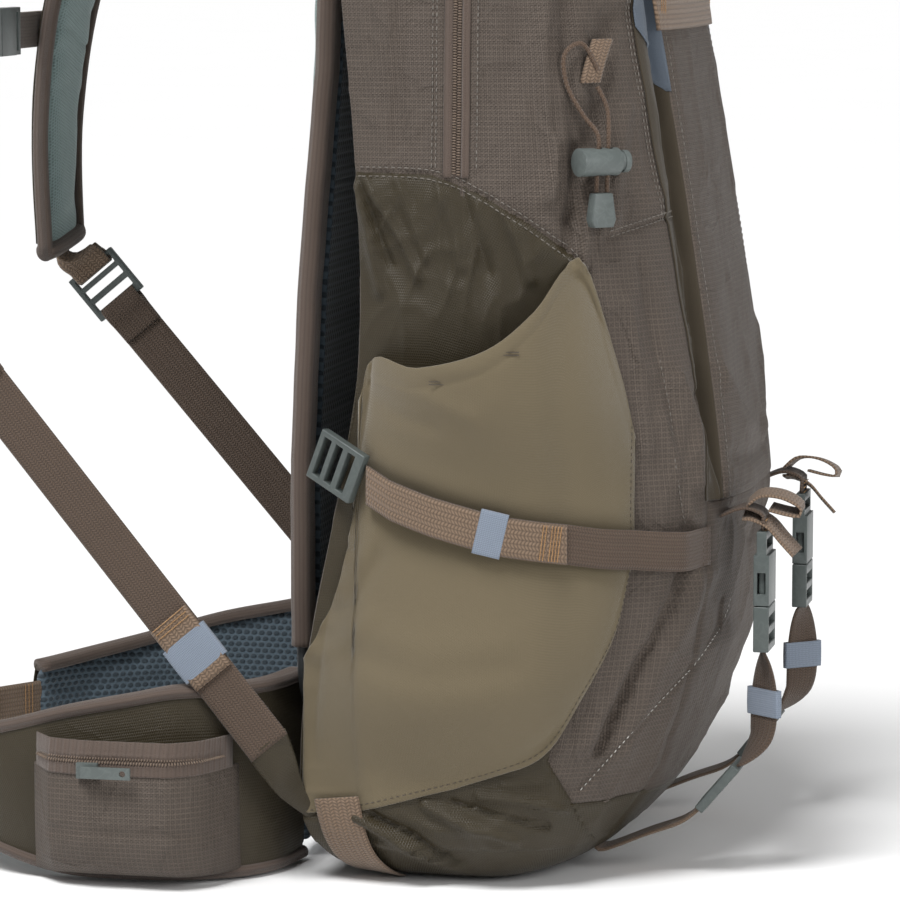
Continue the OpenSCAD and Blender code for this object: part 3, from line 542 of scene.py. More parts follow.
# %% Effects that the cloths share
weave, i, o = effect("weave", {"Warp": 0.0008, "Weft": 0.0008}, ("Height", "Tone"))
axes = put(weave, "ShaderNodeSeparateXYZ", {0: i["Vector"]}).outputs
warp, weft = waves(weave, axes[0], i["Warp"]), waves(weave, axes[1], i["Weft"])
cell_x = calc(weave, "FLOOR", calc(weave, "DIVIDE", axes[0], i["Warp"]))
cell_y = calc(weave, "FLOOR", calc(weave, "DIVIDE", axes[1], i["Weft"]))
over = calc(weave, "ABSOLUTE", calc(weave, "MODULO", calc(weave, "ADD", cell_x, cell_y), 2.0))
lift = calc(weave, "ADD", calc(weave, "MULTIPLY", over, warp),
            calc(weave, "MULTIPLY", calc(weave, "SUBTRACT", 1.0, over), weft))
weave.links.new(lift, o["Height"])
weave.links.new(calc(weave, "MULTIPLY", lift,
                     calc(weave, "ADD", 0.55, calc(weave, "MULTIPLY", over, 0.45))), o["Tone"])

grid_yarn, i, o = effect("grid_yarn", {"Cell": 0.0032, "Share": 0.16}, ("Line", "Painted_Sheen"))
axes = put(grid_yarn, "ShaderNodeSeparateXYZ", {0: i["Vector"]}).outputs
line_x = calc(grid_yarn, "LESS_THAN", waves(grid_yarn, axes[0], i["Cell"]),
              calc(grid_yarn, "MULTIPLY", i["Share"], 2.2))
line_y = calc(grid_yarn, "LESS_THAN", waves(grid_yarn, axes[1], i["Cell"]),
              calc(grid_yarn, "MULTIPLY", i["Share"], 2.2))
grid_yarn.links.new(calc(grid_yarn, "MAXIMUM", line_x, line_y), o["Line"])
# Painted sheen: broken streaks along the cross yarns, later mixed brighter than the yarn lines, stand in
# for light glinting off them.
sheen_streak_noise = put(grid_yarn, "ShaderNodeTexNoise",
           {"Vector": i["Vector"], "Scale": 90.0, "Detail": 1.0}).outputs["Fac"]
grid_yarn.links.new(calc(grid_yarn, "MULTIPLY", line_y,
                         calc(grid_yarn, "SMOOTH_MAX", calc(grid_yarn, "SUBTRACT", sheen_streak_noise, 0.4), 0.0, 0.1)),
                         o["Painted_Sheen"])

blotch, i, o = effect("blotch", {"Size": 0.05, "Amount": 0.1}, ("Tone",))
scale = calc(blotch, "DIVIDE", 1.0, i["Size"])
cloud = put(blotch, "ShaderNodeTexNoise",
            {"Vector": i["Vector"], "Scale": scale, "Detail": 4.0}).outputs["Fac"]
swing_by = calc(blotch, "MULTIPLY", calc(blotch, "SUBTRACT", cloud, 0.5),
                calc(blotch, "MULTIPLY", i["Amount"], 3.0))
blotch.links.new(calc(blotch, "ADD", 0.5, swing_by, clamp=True), o["Tone"])

ribs, i, o = effect("ribs", {"Across": 0.0016, "Along": 0.0011, "Slant": 0.5}, ("Height", "Tone"))
axes = put(ribs, "ShaderNodeSeparateXYZ", {0: i["Vector"]}).outputs
zigzag = waves(ribs, axes[0], calc(ribs, "MULTIPLY", i["Across"], 2.0))
shifted = calc(ribs, "ADD", axes[1],
               calc(ribs, "MULTIPLY", zigzag, calc(ribs, "MULTIPLY", i["Slant"], i["Across"])))
rows, columns = waves(ribs, shifted, i["Along"]), waves(ribs, axes[0], i["Across"])
rib = calc(ribs, "MULTIPLY", calc(ribs, "POWER", rows, 0.6), calc(ribs, "POWER", columns, 0.35))
ribs.links.new(rib, o["Height"])
ribs.links.new(calc(ribs, "POWER", rib, 1.6), o["Tone"])

holes, i, o = effect("holes", {"Wide": 0.004, "High": 0.006, "Open": 0.5}, ("Hole", "Rim"))
axes = put(holes, "ShaderNodeSeparateXYZ", {0: i["Vector"]}).outputs
row = calc(holes, "FLOOR", calc(holes, "DIVIDE", axes[1], i["High"]))
odd = calc(holes, "MULTIPLY", calc(holes, "ABSOLUTE", calc(holes, "MODULO", row, 2.0)), 0.5)
hx = calc(holes, "SUBTRACT",
          calc(holes, "FRACT", calc(holes, "ADD", calc(holes, "DIVIDE", axes[0], i["Wide"]), odd)), 0.5)
hy = calc(holes, "SUBTRACT", calc(holes, "FRACT", calc(holes, "DIVIDE", axes[1], i["High"])), 0.5)
away = calc(holes, "SQRT",
            calc(holes, "ADD", calc(holes, "MULTIPLY", hx, hx), calc(holes, "MULTIPLY", hy, hy)))
hole = put(holes, "ShaderNodeMapRange",
           {0: away, 1: calc(holes, "MULTIPLY", i["Open"], 0.42),
            2: calc(holes, "MULTIPLY", i["Open"], 0.72), 3: 1.0, 4: 0.0}).outputs[0]
holes.links.new(hole, o["Hole"])
holes.links.new(calc(holes, "MULTIPLY", calc(holes, "SUBTRACT", 1.0, hole),
                     calc(holes, "POWER", calc(holes, "MULTIPLY", away, 1.6, clamp=True), 0.5)), o["Rim"])

crumple, i, o = effect("crumple", {"Size": 0.02, "Sharp": 2.0}, ("Height",))
soft = put(crumple, "ShaderNodeTexNoise",
           {"Vector": i["Vector"], "Scale": calc(crumple, "DIVIDE", 1.0, i["Size"]), "Detail": 3.0,
            "Distortion": 0.6}).outputs["Fac"]
crest = calc(crumple, "SUBTRACT", 1.0,
             calc(crumple, "ABSOLUTE", calc(crumple, "MULTIPLY", calc(crumple, "SUBTRACT", soft, 0.5), 5.0),
                  clamp=True))
crumple.links.new(calc(crumple, "POWER", crest, i["Sharp"]), o["Height"])
print("effects:", [g.name for g in bpy.data.node_groups])

# %% Colours and the cloth material
def tint(r, g, b):
    """A colour as the eye names it (0 to 255), turned to light."""
    return tuple((v / 255 / 12.92) if v <= 10 else ((v / 255 + 0.055) / 1.055) ** 2.4 for v in (r, g, b))


COORD = "ShaderNodeTexCoord"


def new_material(name, roughness, sheen=0.0, specular=0.35):
    material = bpy.data.materials.new(name)
    material.use_nodes = True
    tree = material.node_tree
    shader = tree.nodes["Principled BSDF"]
    shader.inputs["Roughness"].default_value = roughness
    shader.inputs["Specular IOR Level"].default_value = specular
    shader.inputs["Sheen Weight"].default_value = sheen
    shader.inputs["Sheen Roughness"].default_value = 0.45
    return material, tree, shader


def group(tree, made, vector, **numbers):
    return put(tree, "ShaderNodeGroup",
               {"Vector": vector, **{k.replace("_", " "): v for k, v in numbers.items()}},
               node_tree=made).outputs


def cloth_material(name, dark, light, kind, sizes, roughness, depth, sheen=0.0, specular=0.3, grid=None,
                   spots=(0.06, 0.12), fuzz=0.0, crease=(0.02, 0.0)):
    """Cloth: the thread pattern moves colour, gloss and height; blotches and creases break it up."""
    material, tree, shader = new_material(name, roughness, sheen, specular)
    place = put(tree, COORD)
    on_cloth, in_space = place.outputs["UV"], place.outputs["Object"]
    pattern = group(tree, kind, on_cloth, **sizes)
    names = list(pattern.keys())
    height, tone = pattern[names[0]], pattern[names[-1]]
    stain = group(tree, blotch, in_space, Size=spots[0], Amount=spots[1])["Tone"]
    fine = group(tree, blotch, in_space, Size=spots[0] * 0.12, Amount=spots[1] * 0.9)["Tone"]
    share = calc(tree, "ADD", calc(tree, "MULTIPLY", tone, 0.55),
                 calc(tree, "MULTIPLY", calc(tree, "ADD", stain, fine), 0.32), clamp=True)
    colour = blend_colour(tree, share, dark, light)
    if grid:
        lines = group(tree, grid_yarn, on_cloth, Cell=grid[0], Share=grid[1])
        bright = tuple(min(1, v * grid[2]) for v in light)
        colour = blend_colour(tree, calc(tree, "MULTIPLY", lines["Line"], grid[3]), colour, bright)
        # Painted sheen: the streaks take a colour brighter again than the yarn lines.
        colour = blend_colour(tree, calc(tree, "MULTIPLY", lines["Painted_Sheen"], 0.8, clamp=True), colour,
                              tuple(min(1, v * grid[2] * 1.25) for v in light))
        height = calc(tree, "ADD", height, calc(tree, "MULTIPLY", lines["Line"], 1.4))
    tree.links.new(colour, shader.inputs["Base Color"])
    if fuzz:
        height = calc(tree, "ADD", height, calc(tree, "MULTIPLY", fine, fuzz))
    rough = put(tree, "ShaderNodeMapRange", {0: share, 3: roughness + 0.09, 4: roughness - 0.07}).outputs[0]
    tree.links.new(rough, shader.inputs["Roughness"])
    bump = put(tree, "ShaderNodeBump", {"Strength": 0.9, "Distance": depth, "Height": height})
    if crease[1]:
        folded = group(tree, crumple, in_space, Size=crease[0])["Height"]
        wide = put(tree, "ShaderNodeBump", {"Strength": 0.8, "Distance": crease[1], "Height": folded})
        tree.links.new(wide.outputs[0], bump.inputs["Normal"])
    tree.links.new(bump.outputs[0], shader.inputs["Normal"])
    return material


print("cloth material: a pattern, two colours, gloss, height and creases")

# %% The cloths
RIPSTOP = cloth_material("ripstop_cloth", tint(53, 47, 41), tint(89, 79, 71), weave,
                         {"Warp": 0.0011, "Weft": 0.0009}, 0.6, 0.0003, 0.05, 0.3,
                         grid=(0.0027, 0.15, 1.4, 0.4), crease=(0.028, 0.0014), spots=(0.05, 0.14))
SATIN = cloth_material("satin_cloth", tint(34, 28, 15), tint(59, 50, 30), weave,
                       {"Warp": 0.0006, "Weft": 0.0013}, 0.46, 0.0002, 0.04, 0.4,
                       crease=(0.05, 0.0004), spots=(0.05, 0.12))
STRETCH = cloth_material("stretch_cloth", tint(88, 79, 61), tint(112, 101, 80), weave,
                         {"Warp": 0.0009, "Weft": 0.0006}, 0.8, 0.0001, 0.25, 0.2,
                         fuzz=0.5, spots=(0.09, 0.05))
WEBBING = cloth_material("webbing", tint(54, 42, 33), tint(134, 112, 92), ribs,
                         {"Across": 0.0024, "Along": 0.0018, "Slant": 0.5}, 0.66, 0.0005, 0.2, 0.35,
                         spots=(0.02, 0.1))
# Darker than the plain webbing, partly by its own colour and partly by painted shade taken from the shaded
# front end of the compression strap.
SMOOTH_WEBBING = cloth_material("smooth_webbing", tint(42, 33, 26), tint(92, 75, 62), ribs,
                                {"Across": 0.0018, "Along": 0.0015, "Slant": 0.6}, 0.66, 0.0004, 0.15, 0.35,
                                spots=(0.02, 0.1))
BINDING = cloth_material("binding_tape", tint(64, 53, 47), tint(98, 84, 75), ribs,
                         {"Across": 0.0022, "Along": 0.0013, "Slant": 2.4}, 0.7, 0.00025, 0.2, 0.3)
ELASTIC = cloth_material("elastic_tape", tint(92, 102, 116), tint(136, 146, 160), ribs,
                         {"Across": 0.0011, "Along": 0.0009, "Slant": 0.3}, 0.75, 0.00022, 0.25, 0.3)
TRIM = cloth_material("grey_trim", tint(66, 74, 84), tint(94, 104, 116), weave,
                      {"Warp": 0.0005, "Weft": 0.0009}, 0.55, 0.0001, 0.1, 0.4)
# A darker copy of the stretch cloth: the shade in the gap between the stuff pocket panel and the front wall
# is painted into its colour.
PAINTED_SHADE_STRETCH = cloth_material("stretch_cloth_painted_shade", tint(48, 41, 32), tint(68, 60, 47), weave,
                        {"Warp": 0.0009, "Weft": 0.0006}, 0.75, 0.0001, 0.2, 0.2, spots=(0.09, 0.05))
MESH = cloth_material("spacer_mesh_cloth", tint(22, 27, 32), tint(84, 98, 108), holes,
                      {"Wide": 0.0046, "High": 0.0034, "Open": 0.62}, 0.75, 0.0009, 0.2, 0.25)
BACK_MESH = cloth_material("back_mesh_cloth", tint(84, 100, 100), tint(138, 156, 154), holes,
                           {"Wide": 0.0019, "High": 0.0016, "Open": 0.5}, 0.75, 0.0004, 0.25, 0.25)
CORD = cloth_material("cord_braid", tint(50, 38, 30), tint(104, 83, 66), weave,
                      {"Warp": 0.0009, "Weft": 0.0012}, 0.6, 0.0003, 0.15, 0.35)
print("cloths:", [m.name for m in bpy.data.materials])


# %% Thread, coil and moulded plastic
def thread_material(name, dark, light, roughness=0.6):
    material, tree, shader = new_material(name, roughness, 0.2)
    spot = put(tree, COORD).outputs["Object"]
    share = group(tree, blotch, spot, Size=0.003, Amount=0.4)["Tone"]
    tree.links.new(blend_colour(tree, share, dark, light), shader.inputs["Base Color"])
    twist = put(tree, "ShaderNodeTexNoise", {"Vector": spot, "Scale": 2600.0, "Detail": 1.0}).outputs["Fac"]
    bump = put(tree, "ShaderNodeBump", {"Strength": 0.6, "Distance": 0.0001, "Height": twist})
    tree.links.new(bump.outputs[0], shader.inputs["Normal"])
    return material


def moulded(name, dark, light, roughness=0.42, grain=0.00005):
    """Injection-moulded nylon: fine spark-eroded grain, soft gloss, rubbed lighter in patches."""
    material, tree, shader = new_material(name, roughness, 0.0, 0.45)
    spot = put(tree, COORD).outputs["Object"]
    share = group(tree, blotch, spot, Size=0.02, Amount=0.22)["Tone"]
    rubbed = group(tree, crumple, spot, Size=0.006, Sharp=5.0)["Height"]
    colour = blend_colour(tree, share, dark, light)
    worn = tuple(min(1, v * 1.25) for v in light)
    tree.links.new(blend_colour(tree, calc(tree, "MULTIPLY", rubbed, 0.35), colour, worn),
                   shader.inputs["Base Color"])
    tree.links.new(calc(tree, "ADD", roughness - 0.05, calc(tree, "MULTIPLY", share, 0.14)),
                   shader.inputs["Roughness"])
    pits = put(tree, "ShaderNodeTexNoise", {"Vector": spot, "Scale": 1800.0, "Detail": 2.0}).outputs["Fac"]
    bump = put(tree, "ShaderNodeBump", {"Strength": 0.7, "Distance": grain, "Height": pits})
    tree.links.new(bump.outputs[0], shader.inputs["Normal"])
    return material


THREAD = thread_material("seam_thread", tint(74, 68, 62), tint(132, 126, 118))
PALE_THREAD = thread_material("reflective_thread", tint(150, 148, 142), tint(214, 212, 206), 0.35)
TAN_THREAD = thread_material("tack_thread", tint(132, 96, 58), tint(182, 142, 94))
DARK_THREAD = thread_material("dark_thread", tint(52, 44, 37), tint(78, 68, 58))
COIL = thread_material("zip_coil", tint(80, 66, 54), tint(124, 106, 90), 0.4)
PLASTIC = moulded("moulded_nylon", tint(72, 78, 77), tint(94, 101, 99))
DARK_PLASTIC = moulded("buckle_nylon", tint(62, 68, 67), tint(82, 89, 87), 0.36)
ROD = moulded("frame_rod_coating", tint(34, 36, 37), tint(52, 54, 55), 0.5)
SHEET = moulded("frame_sheet_plastic", tint(26, 27, 28), tint(40, 41, 42), 0.6)
print("materials:", len(bpy.data.materials))

# %% [markdown]
# ## Stitches, teeth and ribs by Geometry Nodes
# A seam is one small shape repeated thousands of times. One node tree takes bare points that
# carry a direction along the seam and a direction out of the cloth, and puts a small part on
# each. Its inputs are the part's length, width and height, its material, and a seed.

# %% The tree that repeats a small part
SEED = 3
small_parts = bpy.data.node_groups.new("repeat_small_part", "GeometryNodeTree")
small_parts.is_modifier = True
face_in = small_parts.interface
face_in.new_socket("Geometry", in_out="INPUT", socket_type="NodeSocketGeometry")
for key, value in (("Length", 0.0025), ("Width", 0.0007), ("Height", 0.0006), ("Wobble", 0.06)):
    face_in.new_socket(key, in_out="INPUT", socket_type="NodeSocketFloat").default_value = value
face_in.new_socket("Seed", in_out="INPUT", socket_type="NodeSocketInt").default_value = SEED
face_in.new_socket("Finish", in_out="INPUT", socket_type="NodeSocketMaterial")
face_in.new_socket("Geometry", in_out="OUTPUT", socket_type="NodeSocketGeometry")
given = small_parts.nodes.new("NodeGroupInput").outputs
bead = put(small_parts, "GeometryNodeMeshUVSphere", {"Segments": 6, "Rings": 4, "Radius": 0.5})
sized = put(small_parts, "GeometryNodeTransform", {"Geometry": bead.outputs[0], "Scale": put(
    small_parts, "ShaderNodeCombineXYZ",
    {0: given["Length"], 1: given["Width"], 2: given["Height"]}).outputs[0]})
out_dir = put(small_parts, "GeometryNodeInputNamedAttribute", {"Name": "out"},
              data_type="FLOAT_VECTOR").outputs[0]
along_dir = put(small_parts, "GeometryNodeInputNamedAttribute", {"Name": "along"},
                data_type="FLOAT_VECTOR").outputs[0]
upright = put(small_parts, "FunctionNodeAlignRotationToVector", {"Vector": out_dir}, axis="Z")
turned = put(small_parts, "FunctionNodeAlignRotationToVector",
             {"Rotation": upright.outputs[0], "Vector": along_dir}, axis="X", pivot_axis="Z")
jitter = put(small_parts, "FunctionNodeRandomValue",
             {2: calc(small_parts, "MULTIPLY", given["Wobble"], -1.0), 3: given["Wobble"],
              "Seed": given["Seed"]}).outputs[1]
spin = put(small_parts, "FunctionNodeAxisAngleToRotation", {"Axis": (0, 0, 1), "Angle": jitter})
both = put(small_parts, "FunctionNodeRotateRotation",
           {"Rotation": turned.outputs[0], "Rotate By": spin.outputs[0]}, rotation_space="LOCAL")
placed = put(small_parts, "GeometryNodeInstanceOnPoints",
             {"Points": given["Geometry"], "Instance": sized.outputs[0], "Rotation": both.outputs[0]})
real = put(small_parts, "GeometryNodeRealizeInstances", {"Geometry": placed.outputs[0]})
coated = put(small_parts, "GeometryNodeSetMaterial",
             {"Geometry": real.outputs[0], "Material": given["Finish"]})
small_parts.links.new(coated.outputs[0], small_parts.nodes.new("NodeGroupOutput").inputs[0])
INPUT = {item.name: item.identifier for item in face_in.items_tree if item.in_out == "INPUT"}


print("repeat tree inputs:", list(INPUT))


# %% Rows of small parts
def mesh_of(obj):
    """A new mesh from an object with its modifiers applied."""
    return bpy.data.meshes.new_from_object(obj.evaluated_get(bpy.context.evaluated_depsgraph_get()))


def scatter(name, rows, body, material, length, width, height, wobble=0.06):
    """One plain mesh of small parts on rows of (points, along, out), in millimetres."""
    at = np.concatenate([r[0] for r in rows]) * MM
    mesh = bpy.data.meshes.new(name)
    mesh.from_pydata(at.tolist(), [], [])
    for key, k in (("along", 1), ("out", 2)):
        data = mesh.attributes.new(key, "FLOAT_VECTOR", "POINT")
        data.data.foreach_set("vector", np.concatenate([r[k] for r in rows]).astype(np.float32).ravel())
    seedbed = bpy.data.objects.new(name + "_points", mesh)
    scene.collection.objects.link(seedbed)
    repeat = seedbed.modifiers.new("repeat", "NODES")
    repeat.node_group = small_parts
    for key, value in (("Length", length * MM), ("Width", width * MM), ("Height", height * MM),
                       ("Wobble", wobble), ("Seed", SEED), ("Finish", material)):
        repeat[INPUT[key]] = value
    bpy.context.view_layer.update()
    done = mesh_of(seedbed)
    bpy.data.objects.remove(seedbed)
    done.name = name
    done.shade_smooth()
    obj = bpy.data.objects.new(name, done)
    scene.collection.objects.link(obj)
    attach(obj, body)
    print(name, len(at), "parts")
    return obj


def seam_row(path, out, gap=3.6, lift=0.25, shift=0.0):
    """Evenly spaced stitch places along a path whose outward directions are given."""
    path = np.asarray(path, float)
    s = distances(path)
    t = np.arange(gap / 2, s[-1], gap)
    at = np.stack([np.interp(t, s, path[:, k]) for k in range(3)], 1)
    out = np.broadcast_to(np.asarray(out, float), path.shape)
    n = unit(np.stack([np.interp(t, s, out[:, k]) for k in range(3)], 1))
    d = unit(np.gradient(at, axis=0))
    return at + n * lift + unit(np.cross(n, d)) * shift, d, n


print("rows of small parts ready")

# %% [markdown]
# ## The bag's panels
# The body is sewn from a base tray, two sides, a front and a back. Each is a fine grid on the
# shell, raised by the fold field. The olive satin behind each side pocket lies on top of the
# ripstop, as it does where a second cloth is let in.

# %% Side panels in ripstop
def side_at(a, z, o=0.0):
    """a runs from -1 at the back edge, through 0 at mid depth, to 1 at the front seam."""
    rear = on_side(back_y(z) * np.clip(-a, 0, 1), z, o)
    front = corner(z, seam_t(z) * np.clip(a, 0, 1), o)
    return np.where((a < 0)[..., None], rear, front)


def own_side(points, flip):
    """Points made for the left, moved to the right side of the bag where flip is set."""
    return mirror(points) if flip else points


def on_bag(place, a, z, extra=0.0, flip=False):
    """A shell point with the folds of its own side of the bag."""
    a, z = np.broadcast_arrays(np.asarray(a, float), np.asarray(z, float))
    return place(a, z, folds(own_side(place(a, z), flip)) + extra)


def both_sides(make):
    for flip, name in ((False, "left"), (True, "right")):
        make(name, flip, mirror if flip else (lambda p: np.asarray(p, float)))


def levels(low, high, step):
    return np.linspace(low, high, int(round((high - low) / step)) + 1)[:, None]


def side_wall(name, flip, turn):
    a = np.concatenate([np.linspace(-1, 0, 40)[:-1], np.linspace(0, 1, 80)])[None, :]
    piece("side_panel_" + name + "_cloth",
          shell(turn(on_bag(side_at, a, levels(BASE_TOP, RIM_Z - 1, 2.2), 0, flip)), CLOTH), "bag", RIPSTOP,
          ("side_panel_" + name,))


both_sides(side_wall)
print("ripstop sides done")


# %% Olive satin let into each side
SATIN_LOW = 20


def satin_top(y):
    line = np.array(SATIN_TOP[::-1])
    return np.interp(y, line[:, 0], line[:, 1])


def satin_front(z):
    return np.interp(z, [20, 27, 48, 68, 120, 200, 290, 318], [-64, -63, -56, -46, -50, -57, -61, -64])


def satin_panel(name, flip, turn):
    u, v = np.meshgrid(np.linspace(0, 1, 110), np.linspace(0, 1, 190))
    y, z = 80 - 140 * u, SATIN_LOW + 300 * v
    for _ in range(8):
        y = (back_y(z) - 0.3) * (1 - u) + satin_front(z) * u
        z = SATIN_LOW + (satin_top(y) - SATIN_LOW) * v
    rim = np.minimum(np.minimum(1 - v, 1 - u) * 40, 1)
    spot = own_side(on_side(y, z), flip)
    fan = np.arctan2(y + 30, 430 - z) * 46
    pull = (1 - np.abs(noise(np.stack([fan, z * 0.12, 0 * y + flip], -1), 3.4, 9))) ** 3
    pull = pull * 2.6 * ease((z - 262) / 60) * ease((376 - z) / 16)
    pull = pull + 0.5 * noise(spot * (1, 0.5, 1.4), 18, 10)
    grid = turn(on_side(y, z, folds(spot) + 0.45 + 0.35 * rim + pull * 0.6 * rim))
    piece("side_satin_" + name, shell(grid, 0.7), "bag", SATIN, ("side_panel_" + name,))


both_sides(satin_panel)
print("side panels done")


# %% Front, back and base tray
def set_back(z):
    return 20 * ease((z - 196) / 42) * ease((556 - z) / 42)


def front_at(a, z, o=0.0):
    s = seam_t(z)
    t = s + (np.pi - 2 * s) * a
    near = np.clip(np.minimum(a, 1 - a) * 12, 0, 1)
    p = corner(z, np.minimum(t, np.pi - t), o - set_back(z) * near)
    return np.where((t > np.pi / 2)[..., None], p * (-1, 1, 1), p)


grid = on_bag(front_at, np.linspace(0, 1, 86)[None, :], levels(BASE_TOP, RIM_Z - 1, 2.6))
piece("front_panel_cloth", shell(grid, CLOTH), "bag", RIPSTOP, ("front_panel",))


def back_at(a, z, o=0.0):
    return stacked(a * (half_w(z) * 0.96 - CLOTH), back_y(z) + o, z)


grid = back_at(np.linspace(-1, 1, 90)[None, :], levels(BASE_TOP, RIM_Z - 1, 3))
swell = (0.9 + 0.9 * noise(grid, 55, 12)) * ease((grid[..., 2] - 50) / 30) * ease((596 - grid[..., 2]) / 30)
edge = np.clip((half_w(grid[..., 2]) - np.abs(grid[..., 0])) / 12, 0, 1)
grid[..., 1] += swell * edge
piece("back_panel_cloth", shell(grid, CLOTH), "bag", SATIN, ("back_panel",))


RING_BACK, RING_REAR, RING_FRONT = 26, 22, 60  # points along half a level's back, side and front


def outward(p):
    """Level direction away from the bag's middle line."""
    return unit(np.asarray(p, float) * (1, 1, 0) - (0, 10, 0))


def ring_at(z, o=0.0):
    """All round one level: back edge, left side, front, right side."""
    z = np.asarray(z, float)
    half_back = [back_at(np.array(-k / RING_BACK), z, 0) for k in range(RING_BACK + 1)]
    y = [back_y(z) * (1 - k / RING_REAR) for k in range(1, RING_REAR)]
    t = np.linspace(0, np.pi / 2, RING_FRONT + 1)
    left = half_back + [on_side(v, z) for v in y] + [corner(z, v) for v in t]
    flat = np.array(left + [mirror(p) for p in left[-2:0:-1]])
    d = folds(flat) + o
    return flat + outward(flat) * d[:, None]


base_levels = [0, 0.6, 2, 4, 6.5, 9.5, 13, 17, 21, 25, 29, 33, 37, 41, BASE_TOP + 0.8]
outer = [ring_at(z) for z in base_levels]
floor_rings = [outer[0] * (f, f, 1) for f in (0.05, 0.25, 0.45, 0.65, 0.82, 0.93)]
shrink = (1 - CLOTH / 140, 1 - CLOTH / 60, 1)
inner = [p * shrink + (0, 0, max(0, CLOTH - z)) for p, z in zip(outer, base_levels)][::-1]
rings = np.array(floor_rings + outer + inner + [p + (0, 0, CLOTH) for p in floor_rings[::-1]])
piece("base_tray", loft(rings), "bag", SATIN, ("base_panel",))
print("front, back and base done")

# %% [markdown]
# ## Lid
# The top is a shallow dome of ripstop with a raised piping round its rim and two seams over the
# crown. It hinges at the back, so all of it rides on the lid's own body.

# %% Lid dome with its piping
LID_H, LID_FOOT, LID_SEAM_X = 42, RIM_Z + 0.3, 62
rim = ring_at(np.array(LID_FOOT))


def lid_ring(u):
    """A level of the dome for u up to 1, then a ring of its flat top."""
    f = math.sqrt(max(0, 1 - 0.8 * u * u)) if u <= 1 else 0.447 * (1 - (u - 1))
    p = rim * (f, f, 0) + (0, 0, LID_FOOT + min(u, 1) * LID_H)
    ridge = np.exp(-((np.abs(p[:, 0]) - LID_SEAM_X) / 3) ** 2) * 0.9
    d = 1.1 * noise(p, 60, 21) + 0.6 * noise(p, 24, 22) - ridge
    p[:, 2] += d * ease(u * 2.2)
    return p


steps = list(np.linspace(0, 1, 18)) + list(np.linspace(1.08, 1.97, 12))
rings = [lid_ring(u) for u in steps]
under = [p * (0.985, 0.985, 1) - (0, 0, 2.2 if p[0, 2] > RIM_Z + 3 else 0) for p in rings][::-1]
points, faces, _ = loft(np.array(under + rings))
piece("lid_dome", (points, faces, points[:, :2]), "lid", RIPSTOP, ("lid",))
bead = np.concatenate([rim, rim[:1]]) + (0, 0, 1.6)
piece("lid_piping", tube(resample(bead, 3), 1.7, 10), "lid", BINDING)
print("lid done")

# %% [markdown]
# ## Stretch side pockets
# The pocket is one piece of knitted stretch cloth. Its mouth has a turned hem that stands away
# from the bag, its front edge is sewn into the side, and the compression strap waists it.

# %% Side pockets
POCKET_Y = [-88, -80, -62, -45, -22, 14, 46, 52, 60, 70, 80]
POCKET_LOW = [178, 135, 98, 72, 61, 50, 41, 40, 39, 38, 37]
POCKET_HIGH = [232, 268, 322, 298, 279, 269, 267, 200, 158, 134, 116]
COMP_PATH = [(44, 208), (30, 201), (8, 194), (-15, 188), (-28, 185), (-42, 183), (-58, 181), (-74, 178),
             (-90, 176), (-104, 174), (-112, 173), (-120, 172.6)]

POCKET_CREASES = [
    ([(40, 262), (10, 256), (-14, 246)], 1.5, 5), ([(42, 252), (22, 243), (6, 240)], -1.2, 4),
    ([(-44, 286), (-30, 262), (-20, 240)], 0.9, 7), ([(50, 122), (10, 112), (-30, 118)], -1.3, 7),
    ([(52, 136), (8, 128), (-28, 132)], 0.9, 8), ([(58, 160), (46, 172), (34, 196)], 1.4, 5),
    ([(64, 140), (50, 150), (38, 170)], -1.4, 4), ([(70, 118), (56, 128), (40, 142)], 1.0, 4),
]


def pocket_front(z):
    return -88 * np.sqrt(np.maximum(0, 1 - ((z - 205) / 148) ** 2))


def pocket_out(y, z):
    front = pocket_front(z)
    u = np.clip((y - front) / (back_y(z) - 8 - front), 0, 1)
    w = np.clip(np.sin(np.pi * u), 0, 1) ** 0.75
    below = np.sin(np.pi / 2 * np.clip((z - 90) / 95, 0, 1)) ** 2
    above = np.cos(np.pi / 2 * np.clip((z - 185) / 75, 0, 1)) ** 2
    cinch = 1 - 0.55 * below * above  # the compression strap draws the pocket in
    return 1.2 + (24 + 12 * np.clip((z - 190) / 80, 0, 1)) * w * ease((z - 45) / 70) * cinch


def table_at(y, values):
    fine = flat_path(zip(POCKET_Y, values), 6)
    order = np.argsort(fine[:, 0])
    return np.interp(y, fine[order, 0], fine[order, 1])


strap_line = flat_path(COMP_PATH, 6)[::-1]


